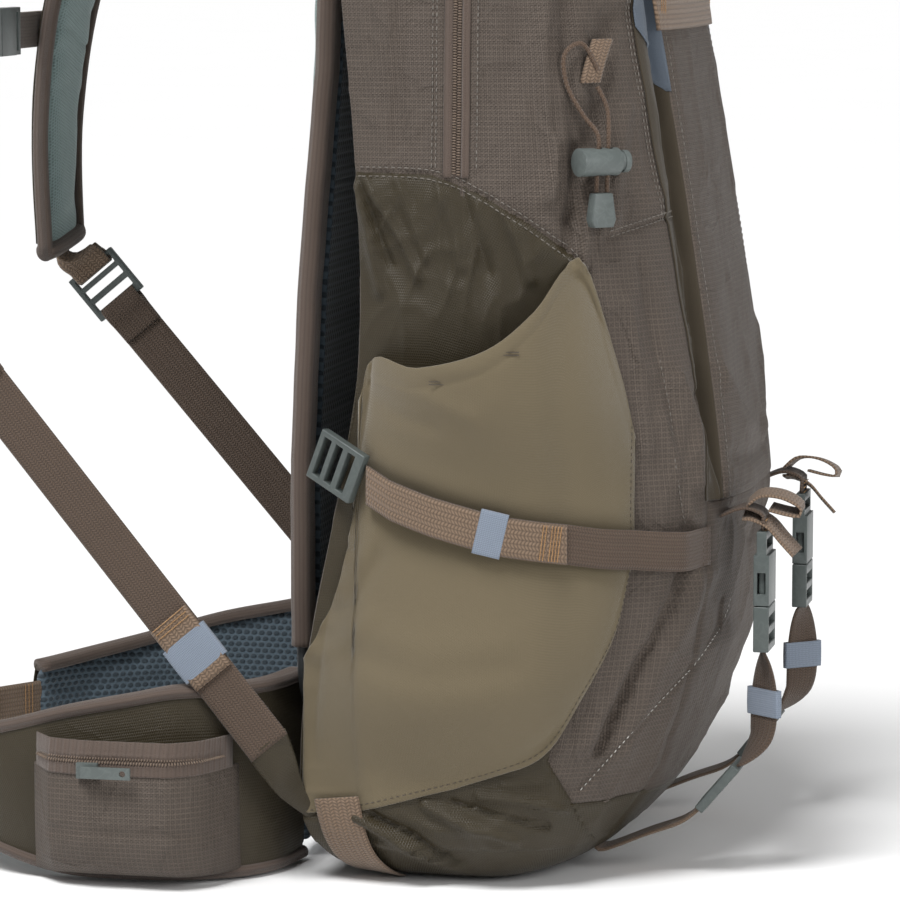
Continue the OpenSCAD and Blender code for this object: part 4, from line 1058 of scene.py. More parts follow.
def pocket_wall(name, flip, turn):
    parts = (-88, 40, 84), (41, 56, 18), (57, 80, 18)
    y = np.concatenate([np.linspace(*part) for part in parts])[None, :]
    low, high = table_at(y, POCKET_LOW), table_at(y, POCKET_HIGH)
    v = np.concatenate([np.linspace(0, 0.93, 76), np.linspace(0.94, 1, 10)])[:, None]
    z = low + (high - low) * v
    y = np.broadcast_to(y, z.shape)
    out = pocket_out(y, z) + 1.6
    spot = own_side(on_side(y, z), flip)
    near_mouth = high - z
    strap_z = np.interp(y, strap_line[:, 0], strap_line[:, 1])
    d = 1.2 * noise(spot, 60, 31) + 0.5 * noise(spot * (1, 1, 0.7), 22, 32)
    above = z - strap_z
    d = (d - 1.3 * np.exp(-((above / 13) ** 4)) + 0.8 * np.exp(-((above - 19) / 7) ** 2)
         + 0.7 * np.exp(-((above + 19) / 7) ** 2))
    d = creased(d, y, z, POCKET_CREASES)
    gather = (y > 44) * np.exp(-near_mouth / 14) * np.sin(z / 2.6 + 1.4 * noise(spot, 9, 33))
    hem = 0.9 * np.exp(-(((near_mouth - 4) / 4.2) ** 2)) - 0.55 * np.exp(-(((near_mouth - 10) / 1.5) ** 2))
    edge = np.clip(np.minimum(np.minimum((y + 88) / 10, (z - low) / 8), (80 - y) / 8), 0, 1)
    d = (d + hem * (y < 46)) * (0.15 + 0.85 * edge) + 1.1 * gather
    base = folds(spot) * (1 - ease(out / 9))
    grid = turn(on_side(y, z, out + d + base))
    piece("side_pocket_" + name + "_cloth", shell(grid, 1.2), "bag", STRETCH,
          ("side_pocket_" + name,))
    return grid


pocket_mouths = []
both_sides(lambda *a: pocket_mouths.append(pocket_wall(*a)))
print("side pockets done")

# %% [markdown]
# ## Front stuff pocket
# An outer ripstop panel stands off the front wall on two stretch gussets that fold inwards. A
# grey triangle stiffens each upper corner, and a wide webbing crosses near the top.

# %% Stuff pocket panel
STUFF_LOW, STUFF_TOP, STUFF_X, STUFF_O, STRAP_Z = 196, 520, 78, 0.7, 446
STUFF_CREASES = [
    ([(-40, 500), (-34, 430), (-44, 360)], 1.8, 7), ([(34, 505), (30, 440), (42, 350)], 1.5, 7),
    ([(-20, 300), (10, 240), (24, 205)], 1.7, 7), ([(-70, 260), (-40, 232), (-10, 226)], 2.4, 6),
    ([(66, 270), (44, 240), (16, 222)], 2.0, 6), ([(-64, 216), (-20, 212), (40, 214)], -1.8, 5),
]
x = np.linspace(-STUFF_X, STUFF_X, 70)[None, :]
z = levels(STUFF_LOW, STUFF_TOP, 2.6)
flat = on_front(x, z)
ridge = (1 - np.abs(noise(flat * (1.2, 1, 0.5), 18, 43))) ** 4
d = 1.8 * noise(flat, 70, 41) + 0.9 * noise(flat * (1, 1, 0.6), 30, 42) + 0.5 * ridge
d = creased(d, flat[..., 0], flat[..., 2], STUFF_CREASES)
sides = np.clip((STUFF_X - np.abs(x)) / 9, 0, 1)
ends = np.clip(np.minimum(z - STUFF_LOW, STUFF_TOP - z) / 10, 0, 1)
strap_dip = np.exp(-(((z - STRAP_Z) / 16) ** 4))
top_hem = 0.7 * np.exp(-(((STUFF_TOP - z - 5) / 5) ** 2))
side_hem = 0.5 * np.exp(-(((STUFF_X - np.abs(x) - 2.5) / 2) ** 2))
d = d * sides * (0.2 + 0.8 * ends) * (1 - 0.8 * strap_dip) + top_hem + side_hem
stuff_grid = on_front(x, z, STUFF_O + CLOTH + d)
piece("stuff_pocket_cloth", shell(stuff_grid, 1.4), "bag", RIPSTOP, ("stuff_pocket",))
print("stuff pocket panel:", stuff_grid.shape[0] * stuff_grid.shape[1], "points")


# %% Gussets and corner triangles
TIP_Z = 402  # where the grey triangle's lower tip starts


def gusset_reach(z):
    """How far the stretch gusset laps over the side, as an angle round the corner."""
    return 0.012 + 0.085 * ease((z - 250) / 200)


def gusset(name, flip, turn):
    z = levels(STUFF_LOW, STUFF_TOP, 3)[:, 0]
    lap, dip = np.linspace(0, 1, 10)[:-1], np.linspace(0, 1, 22)[:, None]
    rows = []
    for v in z:
        t = seam_t(v) - gusset_reach(v) * (1 - np.append(lap, 1))
        on = corner(v, t, folds(own_side(corner(v, t), flip)) + 1.1)
        a, b = on[-1], on_front(np.array(-STUFF_X), v, CLOTH + STUFF_O - 0.6) - (0.5, 0, 0)
        mid = a * 0.45 + b * 0.55 + np.array([1.0, 6.5, 0]) * float(set_back(v)) / 20
        rows.append(np.concatenate([on[:-1],
                                    a * (1 - dip) ** 2 + 2 * (2 * mid - (a + b) / 2) * dip * (1 - dip)
                                    + b * dip**2]))
    grid = np.array(rows)
    u, v = np.concatenate([0 * lap, dip[:, 0]])[None, :], z[:, None]
    lines = noise(stacked(u * 12 + 5 * np.sin(v / 47), v * 0.09, 0.0), 4.2, 44)
    ripple = (2.4 * ((1 - np.abs(lines)) ** 3 - 0.4) + 0.8 * noise(grid * (1, 1, 0.5), 22, 45)
              - 3.0 * np.exp(-(((u - 0.8) / 0.1) ** 2)))
    grid = grid - np.array([0.45, 0.9, 0]) * (ripple * np.clip(np.minimum(u, 1 - u) * 6, 0, 1))[..., None]
    # The gussets take the darker copy of the stretch cloth, with the shade of the gap painted into it.
    piece("stuff_gusset_" + name, shell(turn(grid), 1.0), "bag", PAINTED_SHADE_STRETCH, ("stuff_gussets",))
    tip = grid[z > TIP_Z] - np.array([0.5, 1.3, 0])
    share = np.clip((z[z > TIP_Z] - TIP_Z) / 34, 0.04, 1)[:, None] * np.linspace(0, 1, 24)[None, :]
    k = (1 - share) * (grid.shape[1] - 1)
    low = np.minimum(k.astype(int), grid.shape[1] - 2)
    part = (k - low)[..., None]
    row = np.arange(len(tip))[:, None]
    piece("stuff_corner_tip_" + name,
          shell(turn(tip[row, low] * (1 - part) + tip[row, low + 1] * part), 0.9), "bag", TRIM,
          ("stuff_corners",))
    u = np.linspace(0, 1, 22)[:, None]
    across = np.linspace(0, 1, 10)[None, :]
    grid = on_front(-STUFF_X - 0.6 + (5.5 + 21 * u) * across, STUFF_TOP - 42 * (1 - u),
                    STUFF_O + CLOTH + 2.1)
    piece("stuff_corner_" + name, shell(turn(grid), 1.1), "bag", TRIM, ("stuff_corners",))


both_sides(gusset)
print("stuff pocket done")

# %% [markdown]
# ## Zips
# A coil zip is a woven tape with two rows of nylon loops that mesh on the middle line. The tape
# is modelled as cloth with a raised edge, and the loops are set along it by the repeat tree.

# %% Side zip and its coil
COIL_HALF = 1.15  # from the zip's middle line to the middle of a tooth


def coil_rows(centre, out, pitch=1.35):
    centre, out = np.asarray(centre, float), np.asarray(out, float)
    rows = []
    for s in (-1, 1):
        at, along, n = seam_row(centre, out, pitch, 0.0)
        cross = unit(np.cross(n, along))
        rows.append((at + cross * s * COIL_HALF + along * pitch * 0.25 * s + n * 0.35, cross, n))
    return rows


z = levels(362, 572, 2.5)
y = np.linspace(-6.4, 6.4, 23)[None, :]
gutter = 0.6 - 0.75 * np.exp(-((y / 2.4) ** 4)) + 0.45 * np.exp(-(((np.abs(y) - 3.6) / 0.8) ** 2))
piece("side_zip_tape", shell(on_bag(on_side, y, z, gutter + 0.35), 0.6), "bag", BINDING,
      ("side_zip",))
line = on_bag(on_side, 0.0, levels(363, 570, 2)[:, 0], 0.55)
coil = coil_rows(line, (-1, 0, 0))
zip_line = rim[rim[:, 1] < 58]
zip_line = zip_line[np.argsort(np.arctan2(zip_line[:, 0], -zip_line[:, 1]))]


LID_ZIP_Z = 591
ZIP_SECTION = ((584, 0.9), (585.5, 1.3), (588, 1.2), (589.6, 0.5), (591, 0.1), (592.4, 0.5), (594, 1.2),
               (596.5, 1.3), (598, 0.9))
tape = np.stack([zip_line * (1, 1, 0) + outward(zip_line) * (o + 0.2) + (0, 0, h) for h, o in ZIP_SECTION])
piece("lid_zip_tape", shell(tape, 0.6), "bag", BINDING, ("lid_zip",))
line = resample(zip_line * (1, 1, 0) + outward(zip_line) * 0.9 + (0, 0, LID_ZIP_Z), 2)
coil += coil_rows(line, outward(line), 1.9)
scatter("zip_coils", coil, "bag", COIL, 2.5, 0.85, 0.95, 0.02)

# %% [markdown]
# ## Padding
# A pad is foam wrapped in cloth. A slightly thin copy of each pad's shape is remeshed into even
# cells and blown up by a short cloth simulation, so it crowns between its edges. How far a point
# may move is capped, which keeps it inside the room that the frame gives it. Seams that are
# narrower than a cell are pressed in afterwards.

# %% Inflating a pad
SIM_FRAMES = 20


def stuffed(name, box, body, material, stands_for, voxel, pressure, cap, press, lay):
    tmp = piece(name + "_start", (*box, None), body, material)
    mod = tmp.modifiers.new("cells", "REMESH")
    mod.mode, mod.voxel_size = "VOXEL", voxel * MM
    even = mesh_of(tmp)
    bpy.data.objects.remove(tmp)
    pad = bpy.data.objects.new(name, even)
    even.name = name
    scene.collection.objects.link(pad)
    start = np.zeros(len(even.vertices) * 3)
    even.vertices.foreach_get("co", start)
    start = start.reshape(-1, 3)
    cloth = pad.modifiers.new("blow", "CLOTH")
    cloth.settings.use_pressure = True
    cloth.settings.uniform_pressure_force = pressure
    cloth.settings.effector_weights.gravity = 0
    cloth.settings.tension_stiffness = 40
    for frame_number in range(1, SIM_FRAMES + 1):
        scene.frame_set(frame_number)
    puffed = mesh_of(pad)
    pad.modifiers.remove(cloth)
    scene.frame_set(1)
    moved = np.zeros(len(puffed.vertices) * 3)
    puffed.vertices.foreach_get("co", moved)
    step = moved.reshape(-1, 3) - start
    far = np.linalg.norm(step, axis=1, keepdims=True)
    start = start + step * np.minimum(1, cap * MM / np.maximum(far, 1e-9))
    bpy.data.meshes.remove(puffed)
    even.vertices.foreach_set("co", start.astype(np.float32).ravel())
    even.update()
    sub = pad.modifiers.new("finer", "SUBSURF")
    sub.levels = sub.render_levels = 1
    fine = mesh_of(pad)
    pad.modifiers.remove(sub)
    pad.data = fine
    fine.name = name
    bpy.data.meshes.remove(even)
    count = len(fine.vertices)
    co, nrm = np.zeros(count * 3), np.zeros(count * 3)
    fine.vertices.foreach_get("co", co)
    fine.vertices.foreach_get("normal", nrm)
    co, nrm = co.reshape(-1, 3) / MM, nrm.reshape(-1, 3)
    co = co + nrm * press(co, nrm)[:, None]
    fine.vertices.foreach_set("co", (co * MM).astype(np.float32).ravel())
    lay_cloth(fine, lay(co))
    fine.update()
    fine.materials.clear()
    fine.materials.append(material)
    fine.shade_smooth()
    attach(pad, body)
    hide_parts(*stands_for)
    print(name, count, "points")
    return pad


print("pad simulation:", f"{SIM_FRAMES} frames")


# %% Pad bodies and the way their cloth lies
def box_grid(a, b):
    """Closed body between two equal grids, with square edges for remeshing."""
    m, n = a.shape[:2]
    quads = grid_quads(m, n)
    ring = rim_loop(m, n)
    walls = np.stack([ring[1:], ring[:-1], ring[:-1] + m * n, ring[1:] + m * n], -1)
    faces = np.concatenate([quads, quads[:, ::-1] + m * n, walls]).tolist()
    return np.concatenate([a.reshape(-1, 3), b.reshape(-1, 3)]), faces


def along_path(path, up=(0, 0, 1)):
    """Lays cloth positions on a pad: distance along its middle line, and across it."""
    path = np.asarray(path, float)
    s = distances(path)
    mid, length = (path[:-1] + path[1:]) / 2, (s[:-1] + s[1:]) / 2
    tangent = unit(np.diff(path, axis=0))

    def lay(co):
        k = np.argmin(((co[:, None] - mid[None]) ** 2).sum(-1), 1)
        d = co - mid[k]
        run = (d * tangent[k]).sum(1)
        side = unit(np.cross(tangent[k], np.cross(up, tangent[k])))
        return np.stack([length[k] + run, (d * side).sum(1)], 1)

    return lay


# %% [markdown]
# ## The suspended back
# A rod hoop holds a mesh pad away from the bag so that air passes. The mesh is a knitted spacer
# cloth: a blue-grey skin towards the wearer, a black open layer behind, bound with twill tape.

# %% Hoop, anchors and frame sheet
MESH_BACK = np.array([(78, 88), (130, 88.5), (214, 88.5), (300, 84.5), (413, 76), (500, 74), (585, 75)],
                     float)
HOOP_HW, HOOP_IN, HOOP_LOW, HOOP_TOP, ROD_R, BEND = 112, 8, 78, 585, 3, 34


def hoop_y(z):
    return np.interp(z, MESH_BACK[:, 0], MESH_BACK[:, 1])


def hoop_point(x, z):
    return (float(x), float(hoop_y(z)), float(z))


def hoop_x(z):
    return -HOOP_HW + HOOP_IN * float(ease(np.array((z - 300) / 200)))


turns = np.radians(np.arange(0, 100, 10))
half = [hoop_point(0, HOOP_LOW), hoop_point(-56, HOOP_LOW)]
half += [hoop_point(-HOOP_HW + BEND * (1 - math.sin(a)), HOOP_LOW + BEND * (1 - math.cos(a)))
         for a in turns]
half += [hoop_point(hoop_x(z), z) for z in range(130, 545, 8)]
half += [hoop_point(-HOOP_HW + HOOP_IN + BEND * (1 - math.cos(a)), HOOP_TOP - BEND * (1 - math.sin(a)))
         for a in turns[1:]]
hoop = (half + [hoop_point(0, HOOP_TOP)] + [(-p[0], p[1], p[2]) for p in half[:0:-1]]
        + [hoop_point(0.4, HOOP_LOW)])
piece("frame_hoop_rod", tube(resample(hoop, 3.5), ROD_R, 12), "bag", ROD, ("frame_hoop",))


def fitting(node, body, material, bevel=0.55):
    """A plastic part: the frame's own shape with its edges broken as a mould leaves them."""
    made = bmesh.new()
    made.from_mesh(frame["nodes"][node].data)
    bmesh.ops.remove_doubles(made, verts=made.verts, dist=2e-5)
    bmesh.ops.dissolve_limit(made, angle_limit=math.radians(2), verts=made.verts, edges=made.edges)
    sharp = [e for e in made.edges if len(e.link_faces) == 2 and e.calc_face_angle(0) > math.radians(35)]
    bmesh.ops.bevel(made, geom=sharp, offset=bevel * MM, segments=2, profile=0.6, affect="EDGES",
                    clamp_overlap=True)
    mesh = bpy.data.meshes.new(node + "_moulded")
    made.to_mesh(mesh)
    made.free()
    mesh.shade_smooth()
    mesh.set_sharp_from_angle(angle=math.radians(38))
    mesh.materials.append(material)
    obj = bpy.data.objects.new(node + "_moulded", mesh)
    scene.collection.objects.link(obj)
    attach(obj, body)
    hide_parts(node)
    return obj


fitting("frame_anchors", "bag", PLASTIC)
fitting("frame_sheet", "bag", SHEET, bevel=0.3)
print("frame done")

# %% Mesh pad, black spacer layer and twill binding
MESH_HW, MESH_T, MESH_LOW, MESH_TOP = HOOP_HW - 18, 11, 117, 539


def mesh_row(x, z, o):
    y = hoop_y(z) + ROD_R + 0.3 + o * (1 - (x / (MESH_HW * 1.35)) ** 4)
    return stacked(x, y, z)


x, z = np.linspace(-MESH_HW + 1, MESH_HW - 1, 40)[None, :], levels(MESH_LOW, MESH_TOP, 8)
box = box_grid(mesh_row(x, z, MESH_T - 1.5), mesh_row(x, z, 1.0))


def press_back(co, nrm):
    ribs_in = np.exp(-(((np.abs(co[:, 0]) - 34) / 3) ** 2)) * 1.5
    return -(ribs_in + 0.3 * np.cos(co[:, 2] / 5.2)) * (nrm[:, 1] > 0.4)


stuffed("back_mesh_pad", box, "bag", BACK_MESH, ("mesh_pad",), 5, 3, 2.0, press_back,
        lambda co: co[:, [0, 2]])
x, z = np.linspace(-MESH_HW, MESH_HW, 60)[None, :], levels(MESH_LOW, MESH_TOP, 1.5)
quilt = 0.55 * np.abs(np.sin(z / 3.1 * np.pi / 2)) * np.ones_like(x)
grid = stacked(x, hoop_y(z) - ROD_R + 1 + quilt * 0.8, z)
piece("spacer_layer", shell(grid, -3.4, (0, 400, 300)), "bag", MESH, ("spacer_mesh",))


def binding(name, flip, turn):
    """Twill tape folded round the mesh's edge and the rod, so it shows from both sides."""
    rows = []
    for v in np.linspace(118, 545, 143):
        x, y = hoop_x(v), float(hoop_y(v))
        fold = [(6 - MESH_HW, 4.9), (x + 9, 5.7), (x - 1, 5.5), (x - 4.7, 3.8), (x - 6.0, 0),
                (x - 4.7, -3.8), (x - 1, -5.3), (x + 7, -5.4)]
        rows.append(smooth_path([(px, y + py, v) for px, py in fold], 4))
    grid = np.array(rows)
    grid = grid + outward(grid) * (0.3 * noise(grid, 16, 51))[..., None]
    middle = grid.mean(1, keepdims=True)
    piece("mesh_binding_" + name, shell(turn(grid), 1.3, turn(middle)), "bag", BINDING,
          ("mesh_binding",))


both_sides(binding)

# %% Lumbar pad
LUMBAR_Y, LUMBAR_HW = 88 + ROD_R + 0.3, 84
k, z = np.linspace(-1, 1, 34)[None, :], levels(8, 110, 6)
lumbar_at = lambda t: stacked(LUMBAR_HW * k * 0.985, LUMBAR_Y + t * (1 - 0.25 * k * k), z)


def press_lumbar(co, nrm):
    x = np.abs(co[:, 0])
    channel = np.exp(-((np.abs(x - 42) / 3) ** 2)) + np.exp(-(((co[:, 2] - 59) / 3) ** 2)) * (x < 40)
    return -1.6 * channel * (nrm[:, 1] > 0.3)


stuffed("lumbar_cushion", box_grid(lumbar_at(10.5), lumbar_at(1.5)), "bag", MESH, ("lumbar_pad",),
        4.5, 4, 2.0, press_lumbar, lambda co: co[:, [0, 2]])
print("back done")

# %% [markdown]
# ## Hip belt
# Each wing is a foam pad that wraps the hip, mesh inside and satin outside, with a zipped ripstop
# pocket on it. The wing folds at the lumbar pad, so pad, pocket, binding and strap share a body.

# %% Hip wings
WING_X, WING_T, WING_H, WING_FOOT = 154, 12, 98, 2
WING_POINTS = [(-85, 97.3, 0), (-118, 104, 0), (-138, 118, 0), (-151, 142, 0), (-154, 165, 0),
               (-154, 205, 0), (-146, 240, 0), (-122, 275, 0), (-94, 296, 0)]
WING_PATH = smooth_path(WING_POINTS, 8)
WING_U = np.linspace(0, 1, len(WING_PATH))
WING_LOW = WING_FOOT + 24 * ease((WING_U - 0.55) / 0.45)
WING_TOP = WING_FOOT + WING_H - 34 * ease((WING_U - 0.35) / 0.65)
WING_OUT = unit(np.cross(np.gradient(WING_PATH, axis=0), (0, 0, 1)))
if WING_OUT[len(WING_OUT) // 2][0] > 0:
    WING_OUT = -WING_OUT


def wing_at(o, lo=0.0, hi=1.0, cells=16, trim=0.0):
    k = np.linspace(lo, hi, cells)[None, :]
    z = WING_LOW[:, None] + trim + (WING_TOP - WING_LOW - 2 * trim)[:, None] * k
    swell = o * (0.55 + 0.45 * np.sin(np.pi * np.clip(k, 0, 1)))
    p = WING_PATH[:, None] * (1, 1, 0) + WING_OUT[:, None] * swell[..., None]
    p[..., 2] += z
    return p


def press_wing(flip):
    def press(co, nrm):
        co = own_side(co, flip)
        rib = np.exp(-((co[:, 2] - 50) / 3.5) ** 2) * 1.3 * (co[:, 1] > 110)
        return -(rib + np.abs(noise(co, 20, 61)) * 0.6)

    return press


def squared(v, power):
    """A sine or cosine made blunter, so that a round section turns into a soft oblong."""
    return np.sign(v) * np.abs(v) ** power


def circle(cells):
    return np.linspace(0, 2 * np.pi, cells + 1)[:-1]


def hip_wing(name, flip, turn):
    body = "wing_" + name
    a, b = wing_at(WING_T / 2 - 1.2, trim=1.6), wing_at(-WING_T / 2 + 1.2, trim=1.6)
    stuffed("hip_pad_" + name, box_grid(turn(a), turn(b)), body, MESH, ("hip_wing_" + name,), 4.5,
            4, 1.5, press_wing(flip), along_path(turn(WING_PATH + (0, 0, 50))))
    out = wing_at(WING_T / 2 + 1.9, 0.03, 0.97, 30)
    out = out + WING_OUT[:, None] * (0.5 * noise(own_side(out, flip), 24, 62) - 0.3)[..., None]
    grid = turn(out[2:-1])
    centre = grid.mean((0, 1)) * (0.3, 1, 1)
    piece("hip_cover_" + name, turned_cloth(shell(grid, 1.0, centre)), body, SATIN,
          ("hip_wing_" + name,))
    for tag, level in (("top", WING_TOP - 1.5), ("low", WING_LOW + 2.2)):
        mid = np.c_[WING_PATH[:, :2], level]
        a = circle(18)
        across, tall = 6.4 * squared(np.cos(a), 0.6), 3.6 * squared(np.sin(a), 0.8)
        rings = (mid[:, None] + WING_OUT[:, None] * across[None, :, None]
                 + np.array([0, 0, 1.0]) * tall[None, :, None])
        uv = stacked(a[None, :] * 5, distances(mid)[:, None])
        piece("hip_binding_" + tag + "_" + name, loft(turn(rings[1:-1]), uv[1:-1]), body, BINDING,
              ("hip_wing_" + name,))


both_sides(hip_wing)
print("hip wings done")


# %% Hip pockets and their zips
HP_Y, HP_BULGE = [114, 126, 142, 160, 185, 205, 218], [0.15, 0.75, 1, 1, 1, 0.8, 0.15]
HP_LOW, HP_TOP, HIP_D = 5, 86, 26
CLOTH_END, ZIP_ANGLE = np.radians(112), np.radians(122)  # where the cloth ends, and the zip's line
HP_MIDDLE = np.array([-150.0, 165, 45])


def wing_outer_x(y):
    return (-WING_X - WING_T / 2 + 30 * np.clip((142 - y) / 34, 0, 1) ** 2
            + 12 * np.clip((y - 195) / 45, 0, 1) ** 2)


def hip_at(y, a, o=0.0):
    bulge = np.interp(y, HP_Y, HP_BULGE)
    d = np.maximum(1.8, (HIP_D + o) * bulge)
    h = (HP_TOP - HP_LOW) / 2 + o / 2
    out = np.clip(np.abs(np.sin(a)), 0, 1) ** 0.6
    return stacked(wing_outer_x(y) - 0.3 - d * out, y, HP_LOW + h - h * np.cos(a))


def hip_pocket(name, flip, turn):
    body = "wing_" + name
    y, a = np.linspace(HP_Y[0], HP_Y[-1], 56)[:, None], np.radians(np.linspace(0, 112, 48))[None, :]
    flat = hip_at(y, a)
    spot = own_side(flat, flip)
    d = (1.1 * noise(spot, 30, 71) + 0.7 * noise(spot, 14, 72)
         - 1.2 * np.exp(-((flat[..., 2] - 30) / 3) ** 2))
    ends = np.clip(np.minimum(y - HP_Y[0], HP_Y[-1] - y) / 14, 0, 1)
    d = d * ends * np.clip(a / 0.4, 0, 1) * np.clip((CLOTH_END - a) / 0.12, 0.1, 1)
    made = turned_cloth(shell(turn(hip_at(y, a, d)), 1.3, turn(HP_MIDDLE)))
    piece("hip_pocket_" + name + "_cloth", made, body, RIPSTOP, ("hip_pocket_" + name,))
    a = np.radians(np.linspace(110.5, 139, 24))[None, :]
    y = np.linspace(116, 216, 50)[:, None]
    off = a - ZIP_ANGLE
    lift = 0.8 - 0.8 * np.exp(-((off / 0.045) ** 4)) + 0.5 * np.exp(-(((np.abs(off) - 0.075) / 0.02) ** 2))
    made = turned_cloth(shell(turn(hip_at(y, a, lift)), 0.7, turn(HP_MIDDLE)))
    piece("hip_zip_tape_" + name, made, body, BINDING, ("hip_pocket_" + name,))
    line = hip_at(np.linspace(119, 213, 60), ZIP_ANGLE, 0.6)
    rows = coil_rows(turn(line), turn(np.array([-0.75, 0, 0.66])), 1.5)
    scatter("hip_zip_coil_" + name, rows, body, COIL, 2.4, 0.9, 0.9, 0.02)


both_sides(hip_pocket)
print("hip pockets done")

# %% [markdown]
# ## Straps and webbing
# Webbing is modelled directly: a flat section with soft edges carried along each strap's route.
# It is folded and sewn back on itself at its ends, which shows as a thicker lap with a bar tack.

# %% Tacks and laps
SLIM_W, WIDE_W, STRAP_T = 20, 25, 1.6
tacks = {}


def bar_tack(body, centre, along, out, width, rows=3, gap=1.0, span=5.0):
    """A dense block of thread across a strap."""
    along, out = unit(along), unit(out)
    across = unit(np.cross(out, along))
    for k in range(rows):
        off = (k - (rows - 1) / 2) * span / max(1, rows - 1)
        n = max(3, int(width / gap))
        at = (np.asarray(centre, float) + along * off + across * np.linspace(-0.5, 0.5, n)[:, None] * width
              + out * 0.35)
        tacks.setdefault(body, []).append((at, np.broadcast_to(across, at.shape),
                                           np.broadcast_to(out, at.shape)))


def strap(name, path, across, width, thick, body, material=None, stands_for=(), crown=0.0, step=2.5):
    return piece(name, ribbon(resample(path, step), across, width, thick, crown), body, material or WEBBING,
                 stands_for)


print("strap widths:", SLIM_W, "and", WIDE_W, "mm")


# %% Hip straps
TIP = WING_PATH[-1] + (0, 0, (WING_LOW[-1] + WING_TOP[-1]) / 2)
TIP_DIR = unit(np.gradient(smooth_path(WING_POINTS, 3), axis=0)[-1])


def hip_strap(name, flip, turn):
    path = [TIP - TIP_DIR * 9, TIP + TIP_DIR * 8, TIP + TIP_DIR * 30]
    strap("hip_webbing_" + name, turn(path), (0, 0, 1), SLIM_W, STRAP_T, "wing_" + name,
          stands_for=("hip_strap_" + name,))
    out = unit(np.cross(TIP_DIR, (0, 0, 1)))
    bar_tack("wing_" + name, turn(TIP + TIP_DIR * 7 + out * 0.9), turn(TIP_DIR), turn(out), 17)


both_sides(hip_strap)
print("hip straps done")

# %% [markdown]
# ## Shoulder straps
# Curved foam straps, satin outside, with a bound edge. They are held at both ends on this pack,
# at the back panel above and by the lower webbing below.

# %% Shoulder straps
SHOULDER = [(-56, 95.2, 528), (-58, 109, 566), (-62, 142, 586), (-70, 190, 574), (-80, 236, 525),
            (-92, 268, 450), (-108, 284, 375), (-124, 288, 305)]
SH_PATH = smooth_path(SHOULDER, 8)
SH_U = np.linspace(0, 1, len(SH_PATH))
SH_HALF = 31 * (1 - 0.28 * ease((SH_U - 0.5) / 0.5))
SH_N = unit(np.cross(unit(np.gradient(SH_PATH, axis=0)), (1, 0.12, 0)))
SH_S = unit(np.cross(SH_N, np.gradient(SH_PATH, axis=0)))
SH_UP = SH_N if SH_N[24][2] > 0 else -SH_N


def shoulder_at(o, k):
    crown = 1 - (np.abs(k) / 1.3) ** 4
    o = np.broadcast_to(np.asarray(o, float),
                        np.broadcast_shapes(np.shape(o), (len(SH_PATH), np.shape(k)[-1])))
    return (SH_PATH[:, None] + SH_S[:, None] * (SH_HALF[:, None] * k)[..., None]
            + SH_UP[:, None] * (o * crown)[..., None])


def press_shoulder(co, nrm):
    return 0.5 * noise(co, 26, 81) - 0.9 * np.exp(-((np.abs(noise(co, 40, 82)) / 0.06) ** 2))


def shoulder(name, flip, turn):
    k = np.linspace(-0.95, 0.95, 15)[None, :]
    box = box_grid(turn(shoulder_at(4.6, k)), turn(shoulder_at(-5.0, k)))
    stuffed("shoulder_pad_" + name, box, "bag", BACK_MESH, ("shoulder_strap_" + name,), 5, 4,
            1.4, press_shoulder, along_path(turn(SH_PATH), (1, 0, 0)))
    k = np.linspace(-0.97, 0.97, 40)[None, :]
    d = 0.5 * noise(shoulder_at(7.6, k), 28, 83) - 1.0 * np.exp(-((k / 0.06) ** 2)) * (SH_U[:, None] > 0.12)
    grid = turn(shoulder_at(8.4 + d, k))[1:-1]
    piece("shoulder_cover_" + name, shell(grid, 1.0, turn(np.array([-90.0, 150, 380]))), "bag", SATIN,
          ("shoulder_strap_" + name,))
    for tag, s in (("inner", 1), ("outer", -1)):
        mid = SH_PATH + SH_S * (SH_HALF * s * 0.99)[:, None]
        a = circle(14)
        rings = (mid[:, None] + SH_S[:, None] * (2.4 * np.cos(a))[None, :, None]
                 + SH_UP[:, None] * (4.6 * squared(np.sin(a), 0.7))[None, :, None])
        piece("shoulder_binding_" + tag + "_" + name, loft(turn(rings)), "bag", BINDING,
              ("shoulder_strap_" + name,))
    k = np.linspace(-1.04, 1.04, 23)[:, None, None]
    tip_dir = unit(np.gradient(SH_PATH, axis=0))[-1]
    mid = SH_PATH[-1] + SH_S[-1] * SH_HALF[-1] * k - tip_dir * 1.0
    a = circle(18)[None, :, None]
    rings = mid + tip_dir * 5.2 * np.cos(a) + SH_UP[-1] * (8.6 * (1 - (np.abs(k) / 1.3) ** 4)) * np.sin(a)
    piece("shoulder_end_" + name, loft(turn(rings)), "bag", BINDING, ("shoulder_strap_" + name,))


both_sides(shoulder)
print("shoulder straps done")

# %% Lower webbing, its tab and the sewn lap
def leftwards(v):
    """The direction or its opposite, whichever points to the wearer's left."""
    return v if v[0] < 0 else -v


WEB_FOOT, WEB_HEAD = np.array([-158.0, 94, 72]), np.array([-146.0, 258, 268])
WEB_DIR, WEB_LEN = unit(WEB_HEAD - WEB_FOOT), float(np.linalg.norm(WEB_HEAD - WEB_FOOT))
WEB_UP = unit(np.cross((WEB_DIR[1], -WEB_DIR[0], 0), WEB_DIR))
WEB_UP = WEB_UP if WEB_UP[2] > 0 else -WEB_UP
WEB_OUT = leftwards(unit(np.cross(WEB_DIR, WEB_UP)))


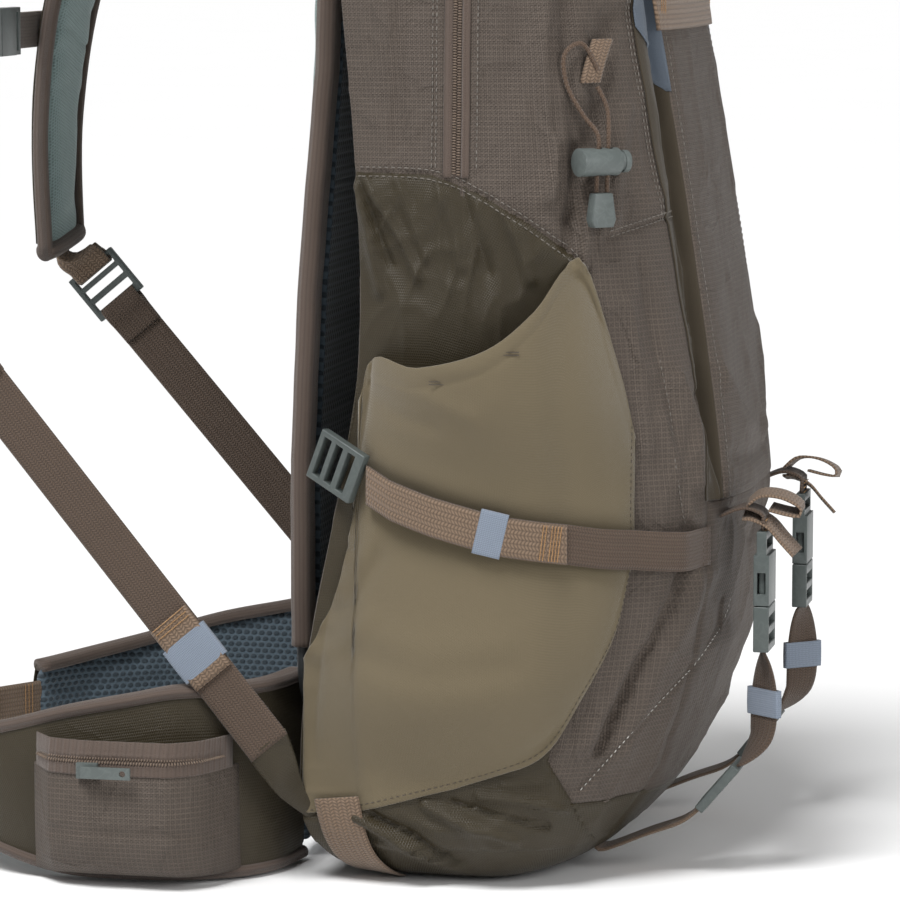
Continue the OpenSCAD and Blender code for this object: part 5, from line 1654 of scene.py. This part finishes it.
def lower_web(name, flip, turn):
    at = lambda t, w: WEB_FOOT + WEB_DIR * (WEB_LEN + 3.3 + t) + WEB_OUT * w
    tail = [SH_PATH[-2], SH_PATH[-1], (SH_PATH[-1] + at(31, -6.5)) / 2 - (0, 0, 2), at(30, -6),
            at(25, -4.2), at(21.8, -3), at(21.4, 0), at(21.9, 3.1),
            at(25.5, 4), at(28.6, 2.6), at(30.4, -0.8), at(34, -4.4)]
    tail = resample(smooth_path(tail, 6), 1.5)
    turned = ease(np.clip((np.linspace(0, 1, len(tail)) - 0.1) / 0.34, 0, 1))[:, None]
    wide = SH_S[-1] * np.sign(SH_S[-1][0]) * (1 - turned) + WEB_UP * turned
    bends = ("bag", "web_lock_" + name, tuple(turn(SH_PATH[-1]) * MM), tuple(turn(at(28, -4)) * MM))
    piece("shoulder_tail_" + name, ribbon(turn(tail), turn(wide), 24, 1.5), bends, WEBBING)
    eye = [(-19, 1.75), (-9, 2.6), (-3.4, 4.2), (1.5, 4.4), (4.5, 3.2), (5.1, 0), (4.5, -3.2), (1.5, -4.4),
           (-3.4, -4.2), (-9, -2.6), (-19, -1.75)]
    eye = smooth_path([at(t - 3.3, w) for t, w in eye], 5)
    strap("webbing_eye_" + name, turn(eye), turn(WEB_UP), 24.4, 1.5, "bag", SMOOTH_WEBBING, (), step=1.5)
    bar_tack("bag", turn(at(-17, 2.6)), turn(WEB_DIR), turn(WEB_OUT), 20)
    path = [WEB_FOOT + WEB_DIR * t for t in (0.5, 60, 130, WEB_LEN - 0.5)]
    strap("lower_webbing_cloth_" + name, turn(path), turn(WEB_UP), WIDE_W, STRAP_T, "bag", SMOOTH_WEBBING,
          ("lower_webbing_" + name,))
    lap = [WEB_FOOT + WEB_DIR * t + WEB_OUT * 1.7 for t in (46, 52, 62, 84)]
    foot = [(62, 46, 3.2), (60, 34, 1.8), (58, 24, 1.4), (55, 15, 1.3), (51, 8.5, 1.2), (47, 3.6, 0.9),
            (44, 1.2, 0.4)]
    foot = [on_side(np.float64(y), np.float64(z), o) for y, z, o in foot]
    foot = smooth_path(foot, 5) - np.array([0.9, 0, 0])
    strap("base_webbing_" + name, turn(foot), turn((0.15, 1, 0.1)), WIDE_W, 1.4, "bag", WEBBING,
          ("base_panel",))
    strap("webbing_lap_" + name, turn(lap), turn(WEB_UP), 24.6, 1.4, "bag", WEBBING)
    bar_tack("bag", turn(WEB_FOOT + WEB_DIR * 81 + WEB_OUT * 2.4), turn(WEB_DIR), turn(WEB_OUT), 20)
    k = np.linspace(0, 1, 22)[None, :, None]
    front = smooth_path([WEB_FOOT + WEB_UP * 12.6 + WEB_DIR * 3, (-153, 82, 66), (-147, 80, 52),
                         on_side(np.array(74.0), np.array(36.0), 1.0)], 13)
    rear = smooth_path([WEB_FOOT - WEB_UP * 12.6 + WEB_DIR * 3, (-154, 95.5, 52), (-147, 88, 42),
                        on_side(np.array(78.0), np.array(34.0), 1.0)], 13)
    grid = front[:, None] * (1 - k) + rear[:, None] * k
    swell = 1.6 * np.sin(np.pi * k[..., 0]) * np.sin(np.pi * np.linspace(0.1, 1, 40))[:, None]
    grid = grid + np.array([-1.0, 0, 0]) * (0.7 * noise(grid * (1, 1, 0.5), 9, 91) + swell)[..., None]
    piece("strap_tab_" + name, shell(turn(grid), 1.3, turn(np.array([-100.0, 90, 60]))), "bag", SATIN,
          ("lower_webbing_" + name,))


both_sides(lower_web)
print("lower webbing done")

# %% [markdown]
# ## Keepers
# A keeper is a loop of wide elastic that holds a strap's spare length. Its two ends overlap under
# the strap, out of sight, so it is modelled as one closed loop. Its ribs run round the strap.

# %% Keeper loops
def keeper(name, centre, along, up, out, width, length, body, stands_for):
    """A loop of elastic round a strap: its outer face, then its inner face back to the start."""
    along, up, out = unit(along), unit(up), unit(out)
    a = circle(40)
    wide, tall = width / 2 + 1.2, 1.9
    cx, cy = wide * squared(np.cos(a), 0.22), tall * squared(np.sin(a), 0.35)
    t = np.linspace(-length / 2, length / 2, 9)
    bow = 0.25 * np.cos(t / length * np.pi)
    centre = np.asarray(centre, float)
    lift = cy[None, :, None] + bow[:, None, None] * np.sign(np.sin(a))[None, :, None]
    outer = centre + along * t[:, None, None] + up * cx[None, :, None] + out * lift
    inner_x, inner_y = cx * (wide - 0.8) / wide, cy * (tall - 0.75) / tall
    inner = (centre + along * t[::-1][:, None, None] + up * inner_x[None, :, None]
             + out * inner_y[None, :, None])
    rings = np.concatenate([outer, inner])
    m, n = rings.shape[:2]
    quads = grid_quads(m + 1, n, True) % (m * n)
    uv = stacked(np.concatenate([t, t[::-1]])[:, None], distances(outer[0])[None, :])
    made = rings.reshape(-1, 3), quads, uv.reshape(-1, 2)
    return piece(name, made, body, ELASTIC, stands_for, 50)


def shoulder_keeper(name, flip, turn):
    keeper("shoulder_keeper_" + name, turn(WEB_FOOT + WEB_DIR * 62 + WEB_OUT * 0.5), turn(WEB_DIR),
           turn(WEB_UP), turn(WEB_OUT), 25.6, 20, "bag", ("shoulder_keepers",))


both_sides(shoulder_keeper)
print("shoulder keepers done")

# %% Side compression straps
COMP_OFF, FACE_CELLS = 4.6, 9


def comp_at(y, z, dz, o):
    reach = np.max([pocket_out(y, z + d) for d in (-12, 0, 12)], 0)
    return on_side(y, z + dz, reach + (COMP_OFF + o) * (1 - 1.1 * ease((-y - 111) / 8)))


def comp_line(t):
    """Depth and height on the strap's route, at a place counted in its points."""
    return [np.interp(t, np.arange(len(COMP_PATH)), [p[k] for p in COMP_PATH]) for k in (0, 1)]


def comp_rings(last, o, thick, half=10.0):
    """Section points along the strap, from its start to a place counted in its points."""
    y, z = (v[:, None] for v in comp_line(np.linspace(0, last, 70)))
    dz = np.linspace(-half, half, FACE_CELLS)[None, :]
    crown = 0.35 * (1 - (dz / half) ** 2)
    outer = comp_at(y, z, dz, o + thick + crown)
    inner = comp_at(y, z, dz[:, ::-1], o + crown[:, ::-1])
    return np.concatenate([outer, inner], 1)


def flat_loft(rings, half, turn=np.asarray):
    """A strap from sections that run out along one face and back along the other."""
    wide = np.concatenate([np.linspace(-half, half, FACE_CELLS), np.linspace(half, -half, FACE_CELLS)])
    s = distances(rings[:, 4])
    return loft(turn(rings), stacked(wide[None, :], s[:, None]))


def compression(name, flip, turn):
    # The strap takes the darker webbing, whose colour holds painted shade.
    made = flat_loft(comp_rings(11, 0.0, 1.5), 10, turn)
    piece("compression_webbing_" + name, made, "bag", SMOOTH_WEBBING,
          ("compression_strap_" + name,))
    # The lap is the same webbing folded back, yet it takes the lighter webbing: painted light on the
    # front-lit stretch of the strap.
    made = flat_loft(comp_rings(6.05, 1.85, 1.2, 9.9), 10, turn)
    piece("compression_lap_" + name, made, "bag", WEBBING)
    for k, rows, span in ((5.35, 2, 1.6), (5.7, 4, 4.5)):
        y, z = comp_line(k)
        at = comp_at(y, z, 0.0, 3.3)
        way = unit(comp_at(y - 3, z - 0.4, 0.0, 3.3) - at)
        out = leftwards(unit(np.cross((0, 0, 1.0), way)))
        bar_tack("bag", turn(at), turn(way), turn(out), 17, rows, 0.9, span)
    a, b = comp_at(-15, 188, 0.0, 0.8), comp_at(-28, 185, 0.0, 0.8)
    way = unit(b - a)
    out = leftwards(unit(np.cross(way, (0, 0, 1))))
    keeper("compression_keeper_loop_" + name, turn((a + b) / 2 + out * 0.75), turn(way),
           turn(np.cross(out, way)), turn(out), 20.4, 14, "comp_keeper_" + name,
           ("compression_keeper_" + name,))


both_sides(compression)
print("straps done")


# %% Sternum strap halves, grab handle and the strap across the stuff pocket
STERNUM_Y, STERNUM_Z = 286, 428
for name, x0, x1 in (("left", -92, -24.5), ("right", 38.5, 92)):
    path = [(x, STERNUM_Y, STERNUM_Z) for x in (x0, (x0 + x1) / 2, x1)]
    strap("sternum_webbing_" + name, path, (0, 0, 1), SLIM_W, STRAP_T, "sternum", SMOOTH_WEBBING,
          ("sternum_strap",))
for x in (-84, 84):
    bar_tack("sternum", (x, STERNUM_Y + 1, STERNUM_Z), (1, 0, 0), (0, 1, 0), 17)

HANDLE = smooth_path([(-30, 67, 563), (-25, 80, 563), (0, 88, 563), (25, 80, 563), (30, 67, 563)], 8)
strap("grab_handle_webbing", HANDLE, (0, 0, 1), 14, 2.4, "handle", WEBBING, ("grab_handle",), 0.3)

x, half, out = np.linspace(-84, 84, 80)[:, None], 12.5, 3.2
dz = np.linspace(-half, half, FACE_CELLS)[None, :]
crown = 0.4 * (1 - (dz / half) ** 2)
outer = on_front(x, STRAP_Z + dz, out + 1.6 + crown)
inner = on_front(x, STRAP_Z + dz[:, ::-1], out + crown)
made = flat_loft(np.concatenate([outer, inner], 1), half)
piece("pocket_strap_webbing", made, "bag", WEBBING, ("pocket_strap",))
for s_ in (-1, 1):
    at = on_front(np.array(s_ * 76.0), np.array(float(STRAP_Z)), 5.4)
    bar_tack("bag", at, (1, 0.25 * s_, 0), unit((at[0] * 0.55, at[1], 0)), 20, 3)
print("sternum strap, handle and pocket strap done")

# %% [markdown]
# ## Stow straps
# Two thin straps hang in front of the pocket. Each comes out of the seam, holds a side-release
# buckle, passes a keeper, turns through a ladder lock and goes back under the base.

# %% Stow straps, loops and keepers
STOW_X, STOW_Y = 75.0, -146
LOCK_AT = np.array([-STOW_X, -134, 58])
LOCK_DIR = unit((0, 22, -26))


def stow(name, flip, turn):
    at = lambda y, z: (-STOW_X, y, z)
    top, foot = [on_front(np.array(-STOW_X), np.array(z), 2.2) for z in (188.0, 12.0)]
    stands = ("stow_straps",)
    upper = smooth_path([top + (0, 3, -1), at(top[1] - 9, 191.5), at(STOW_Y + 0.5, 188.5), at(STOW_Y, 184),
                         at(STOW_Y, 180.4)], 6)
    strap("stow_webbing_top_" + name, turn(upper), (1, 0, 0), SLIM_W, STRAP_T, "bag",
          SMOOTH_WEBBING, stands)
    middle = smooth_path([at(STOW_Y, 118.4), at(STOW_Y - 0.4, 96), at(STOW_Y + 0.4, 76),
                          at(STOW_Y + 4.4, 67), LOCK_AT], 7)
    middle = resample(middle, 2)
    turned = np.radians(52) * np.clip(np.sin(np.pi * np.linspace(0, 1, len(middle))), 0, 1) ** 0.7
    piece("stow_webbing_middle_" + name,
          ribbon(turn(middle), turn(np.stack([np.cos(turned), np.sin(turned), 0 * turned], 1)), 19.4, 1.6),
          "bag", SMOOTH_WEBBING, stands)
    k = int(np.argmin(np.abs(middle[:, 2] - 90)))
    wide = np.array([np.cos(turned[k]), np.sin(turned[k]), 0])
    start = LOCK_AT + LOCK_DIR * 30.6
    back = smooth_path([start, LOCK_AT + LOCK_DIR * 41 + (0, 3, 0.5), foot * 0.5 + start * 0.5 + (0, 2, -3),
                        foot + (0, -2, -0.6), foot + (0, 3, 0.5)], 7)
    back[:, 2] = np.maximum(back[:, 2], 1.4)
    strap("stow_webbing_low_" + name, turn(back), (1, 0, 0), SLIM_W, STRAP_T, "bag", WEBBING, stands)
    loop = smooth_path([at(-137, 193), at(-144, 198.5), at(-155, 198), at(-164, 193.5), at(-164.5, 189),
                        at(-158, 189.4), at(-149, 191.5)], 8)
    strap("stow_loop_" + name, turn(loop), turn((1, 0.04, 0.14)), 17, 1.3, "bag", WEBBING)
    tail = smooth_path([at(-135.5, 187.4), at(-141, 187.3), at(-149.3, 183.4), at(-156, 176),
                        at(-163, 168.5)], 8)
    strap("stow_tail_" + name, turn(tail) - turn((2.0, 0, 0)), turn((0.95, -0.08, 0.22)), 17, 1.3,
          "bag", WEBBING)
    keeper("stow_keeper_" + name, turn(middle[k]), turn((0, 0, 1)), turn(wide),
           turn(np.cross(wide, (0, 0, 1))), 20.4, 14, "bag", stands)
    bar_tack("bag", turn((-STOW_X, STOW_Y - 1.2, 183)), (0, 0, 1), (0, -1, 0), 17)


both_sides(stow)
print("stow straps done")

# %% [markdown]
# ## Plastic fittings
# Buckles, locks and sliders keep the frame's own shapes, with their edges broken, so they fit
# their joints exactly.

# %% Buckles, locks and sliders
BODY_OF = {node: body for body, nodes in frame["record"]["behaviour"]["bodies"].items() for node in nodes}
for node in ("ladder_lock_left", "ladder_lock_right", "compression_lock_left", "compression_lock_right",
             "stow_locks", "sternum_buckle_female",
             "sternum_buckle_male", "hip_buckle_female", "hip_buckle_male", "stow_buckles_female",
             "stow_buckle_left", "stow_buckle_right"):
    fitting(node, BODY_OF[node], DARK_PLASTIC, bevel=0.7)
for node in ("lid_zip_slider", "side_zip_slider", "hip_zip_slider_left", "hip_zip_slider_right"):
    fitting(node, BODY_OF[node], PLASTIC, bevel=0.4)
for node in ("cord_lock", "cord_plunger", "cord_end"):
    fitting(node, BODY_OF[node], PLASTIC, bevel=0.7)
print("fittings done")

# %% [markdown]
# ## Tool cord
# A thin elastic cord makes a loop out of a stitched webbing tab. Both strands run down through
# the cord lock into the moulded end. Each run's length is measured along its route: 0.100 m for
# the loop and 0.054 m for the second strand, 0.154 m in all.

# %% Cord tab and cord
LOCK_Y, LOCK_O, END_Z, STRAND, CORD_D = -72, 7.8, 338, 3.2, 2.4
lock_dir = unit(on_side(np.array(-80.0), np.array(370.0)) - on_side(np.array(-64.0), np.array(370.0)))
DY = STRAND * abs(float(lock_dir[1]))
through_lock = lambda y: [(y, z, LOCK_O) for z in (383, 370, 357, END_Z + 17)]
CORD_A = ([(-68, 415, 4.3), (-61, 428, 4.3), (-53, 423, 4), (-54, 408, 3), (-62, 393, 4)]
          + through_lock(LOCK_Y + DY))
CORD_B = [(-68, 407, 4.3), (-73, 396, 6)] + through_lock(LOCK_Y - DY)
lock_set = [bpy.data.objects[node + "_moulded"] for node in ("cord_lock", "cord_plunger", "cord_end")]
for name, route, extra in (("tool_cord_loop", CORD_A, lock_set),
                           ("tool_cord_strand", CORD_B, lock_set[2:])):
    path = smooth_path([on_side(np.array(float(y)), np.array(float(z)), o) for y, z, o in route], 3)
    fine = smooth_path(path, 4)
    cord = piece(name, tube(fine, CORD_D / 2, 12), "bag", CORD, ("tool_cord",))
z = np.linspace(409, 430, 18)[:, None]
y = np.linspace(-71.5, -63, 10)[None, :]
tab = on_side(y + (z - 420) * -0.22, z + 0 * y, 0.9 + 1.6 + 1.2 * np.sin(np.pi * (z - 409) / 21)
              + 0.4 * np.cos((y + 67.2) / 2.4))
piece("cord_tab_webbing", shell(tab, 1.4), "bag", WEBBING, ("cord_tab",))

# %% [markdown]
# ## Seams
# Thread is what makes cloth read as sewn. Each row below follows a panel's edge at a fixed
# distance, lies in its slight trough, and is drawn by the repeat tree.

# %% Rows of stitches on the bag
rows = []


def stitch(place, a, b, lift, gap, mirrored):
    """One row on the folded cloth of a side, from the shell's formula for its place."""
    at = on_bag(place, a, b, lift, mirrored)
    rows.append(seam_row(own_side(at, mirrored), own_side(outward(at), mirrored), gap, 0.1))


def side_row(line, gap=3.4, lift=0.35, both=True):
    p = resample(flat_path(line, 10), 1.5)
    p = p[p[:, 0] < back_y(p[:, 1]) - 1.5]
    for mirrored in (False, True) if both else (False,):
        stitch(on_side, p[:, 0], p[:, 1], lift, gap, mirrored)


for shift in (-10.4, 10.4, 12.6):
    side_row([(shift, 366), (shift, 430), (shift, 500), (shift, 572)], both=False)
side_row([(y, z + 2.4) for y, z in SATIN_TOP[1:]])
side_row([(y + 1.6, z - 2) for y, z in SATIN_TOP[1:]], lift=1.0)
side_row(SHORT_SEAM)
side_row([(y, z + 3) for y, z in SHORT_SEAM])
side_row(FRONT_SEAM_LOW)
for shift in (2.2, 4.6):
    for mirrored in (False, True):
        z = np.linspace(338, 588, 160)
        stitch(corner, z, seam_t(z) - gusset_reach(z) - np.radians(shift * 0.55), 0.4, 3.4, mirrored)
ring = ring_at(np.array(581.5), 0.35)
ring = resample(np.concatenate([ring[60:], ring[:1]]), 2)
rows.append(seam_row(ring, outward(ring), 3.4, 0.1))
rows.append(seam_row(stuff_grid[-4], unit(stuff_grid[-4] * (1, 1, 0)), 3.4, 0.3))
for k in (2, -3):
    rows.append(seam_row(stuff_grid[:, k], unit(stuff_grid[:, k] * (1, 1, 0)), 3.4, 0.3))
scatter("bag_stitches", rows, "bag", THREAD, 2.5, 0.62, 0.5)

rows = []
side_row(GREY_STITCH, 3.3, 0.4)
scatter("reflective_stitches", rows, "bag", PALE_THREAD, 2.1, 0.55, 0.45)

rows = []
for grid in pocket_mouths:
    for edge in (grid[4:, 1], grid[1, :]):
        rows.append(seam_row(edge, outward(edge), 3.4, 0.15))
side_row(BASE_SEAM, 3.2, 0.5)
scatter("pocket_stitches", rows, "bag", DARK_THREAD, 2.4, 0.55, 0.45)

# %% Bar tacks at the pocket mouth, and the straps' own tacks
for grid in pocket_mouths:
    for y_at in (-34, 2):
        j = int(np.argmin(np.abs(grid[60, :, 1] - y_at)))
        at = grid[-7, j]
        bar_tack("mouth", at, unit(grid[-3, j] - grid[-12, j]), outward(at), 9, 2, 0.9, 1.4)
for body, blocks in tacks.items():
    at_mouth = body == "mouth"
    scatter("bar_tacks_" + body, blocks, "bag" if at_mouth else body,
            DARK_THREAD if at_mouth else TAN_THREAD, 1.15, 0.62, 0.5, 0.15)

# %% [markdown]
# ## Floor
# The floor is a plain pale sheet.

# %% Floor
FLOOR_HALF, FLOOR_Z = 30, -0.0005  # metres
floor_mesh = bpy.data.meshes.new("pale_floor")
sheet = [(x * FLOOR_HALF, y * FLOOR_HALF, FLOOR_Z) for x, y in ((-1, -1), (1, -1), (1, 1), (-1, 1))]
floor_mesh.from_pydata(sheet, [], [(0, 1, 2, 3)])
floor = bpy.data.objects.new("pale_floor", floor_mesh)
scene.collection.objects.link(floor)
paper, tree, shader = new_material("pale_paper", 0.9, 0.0, 0.1)
fibre = put(tree, "ShaderNodeTexNoise",
            {"Vector": put(tree, COORD).outputs["Object"], "Scale": 3.0}).outputs["Fac"]
tree.links.new(blend_colour(tree, fibre, (0.92, 0.92, 0.92), (0.94, 0.94, 0.94)),
               shader.inputs["Base Color"])
floor_mesh.materials.append(paper)

bpy.context.view_layer.update()
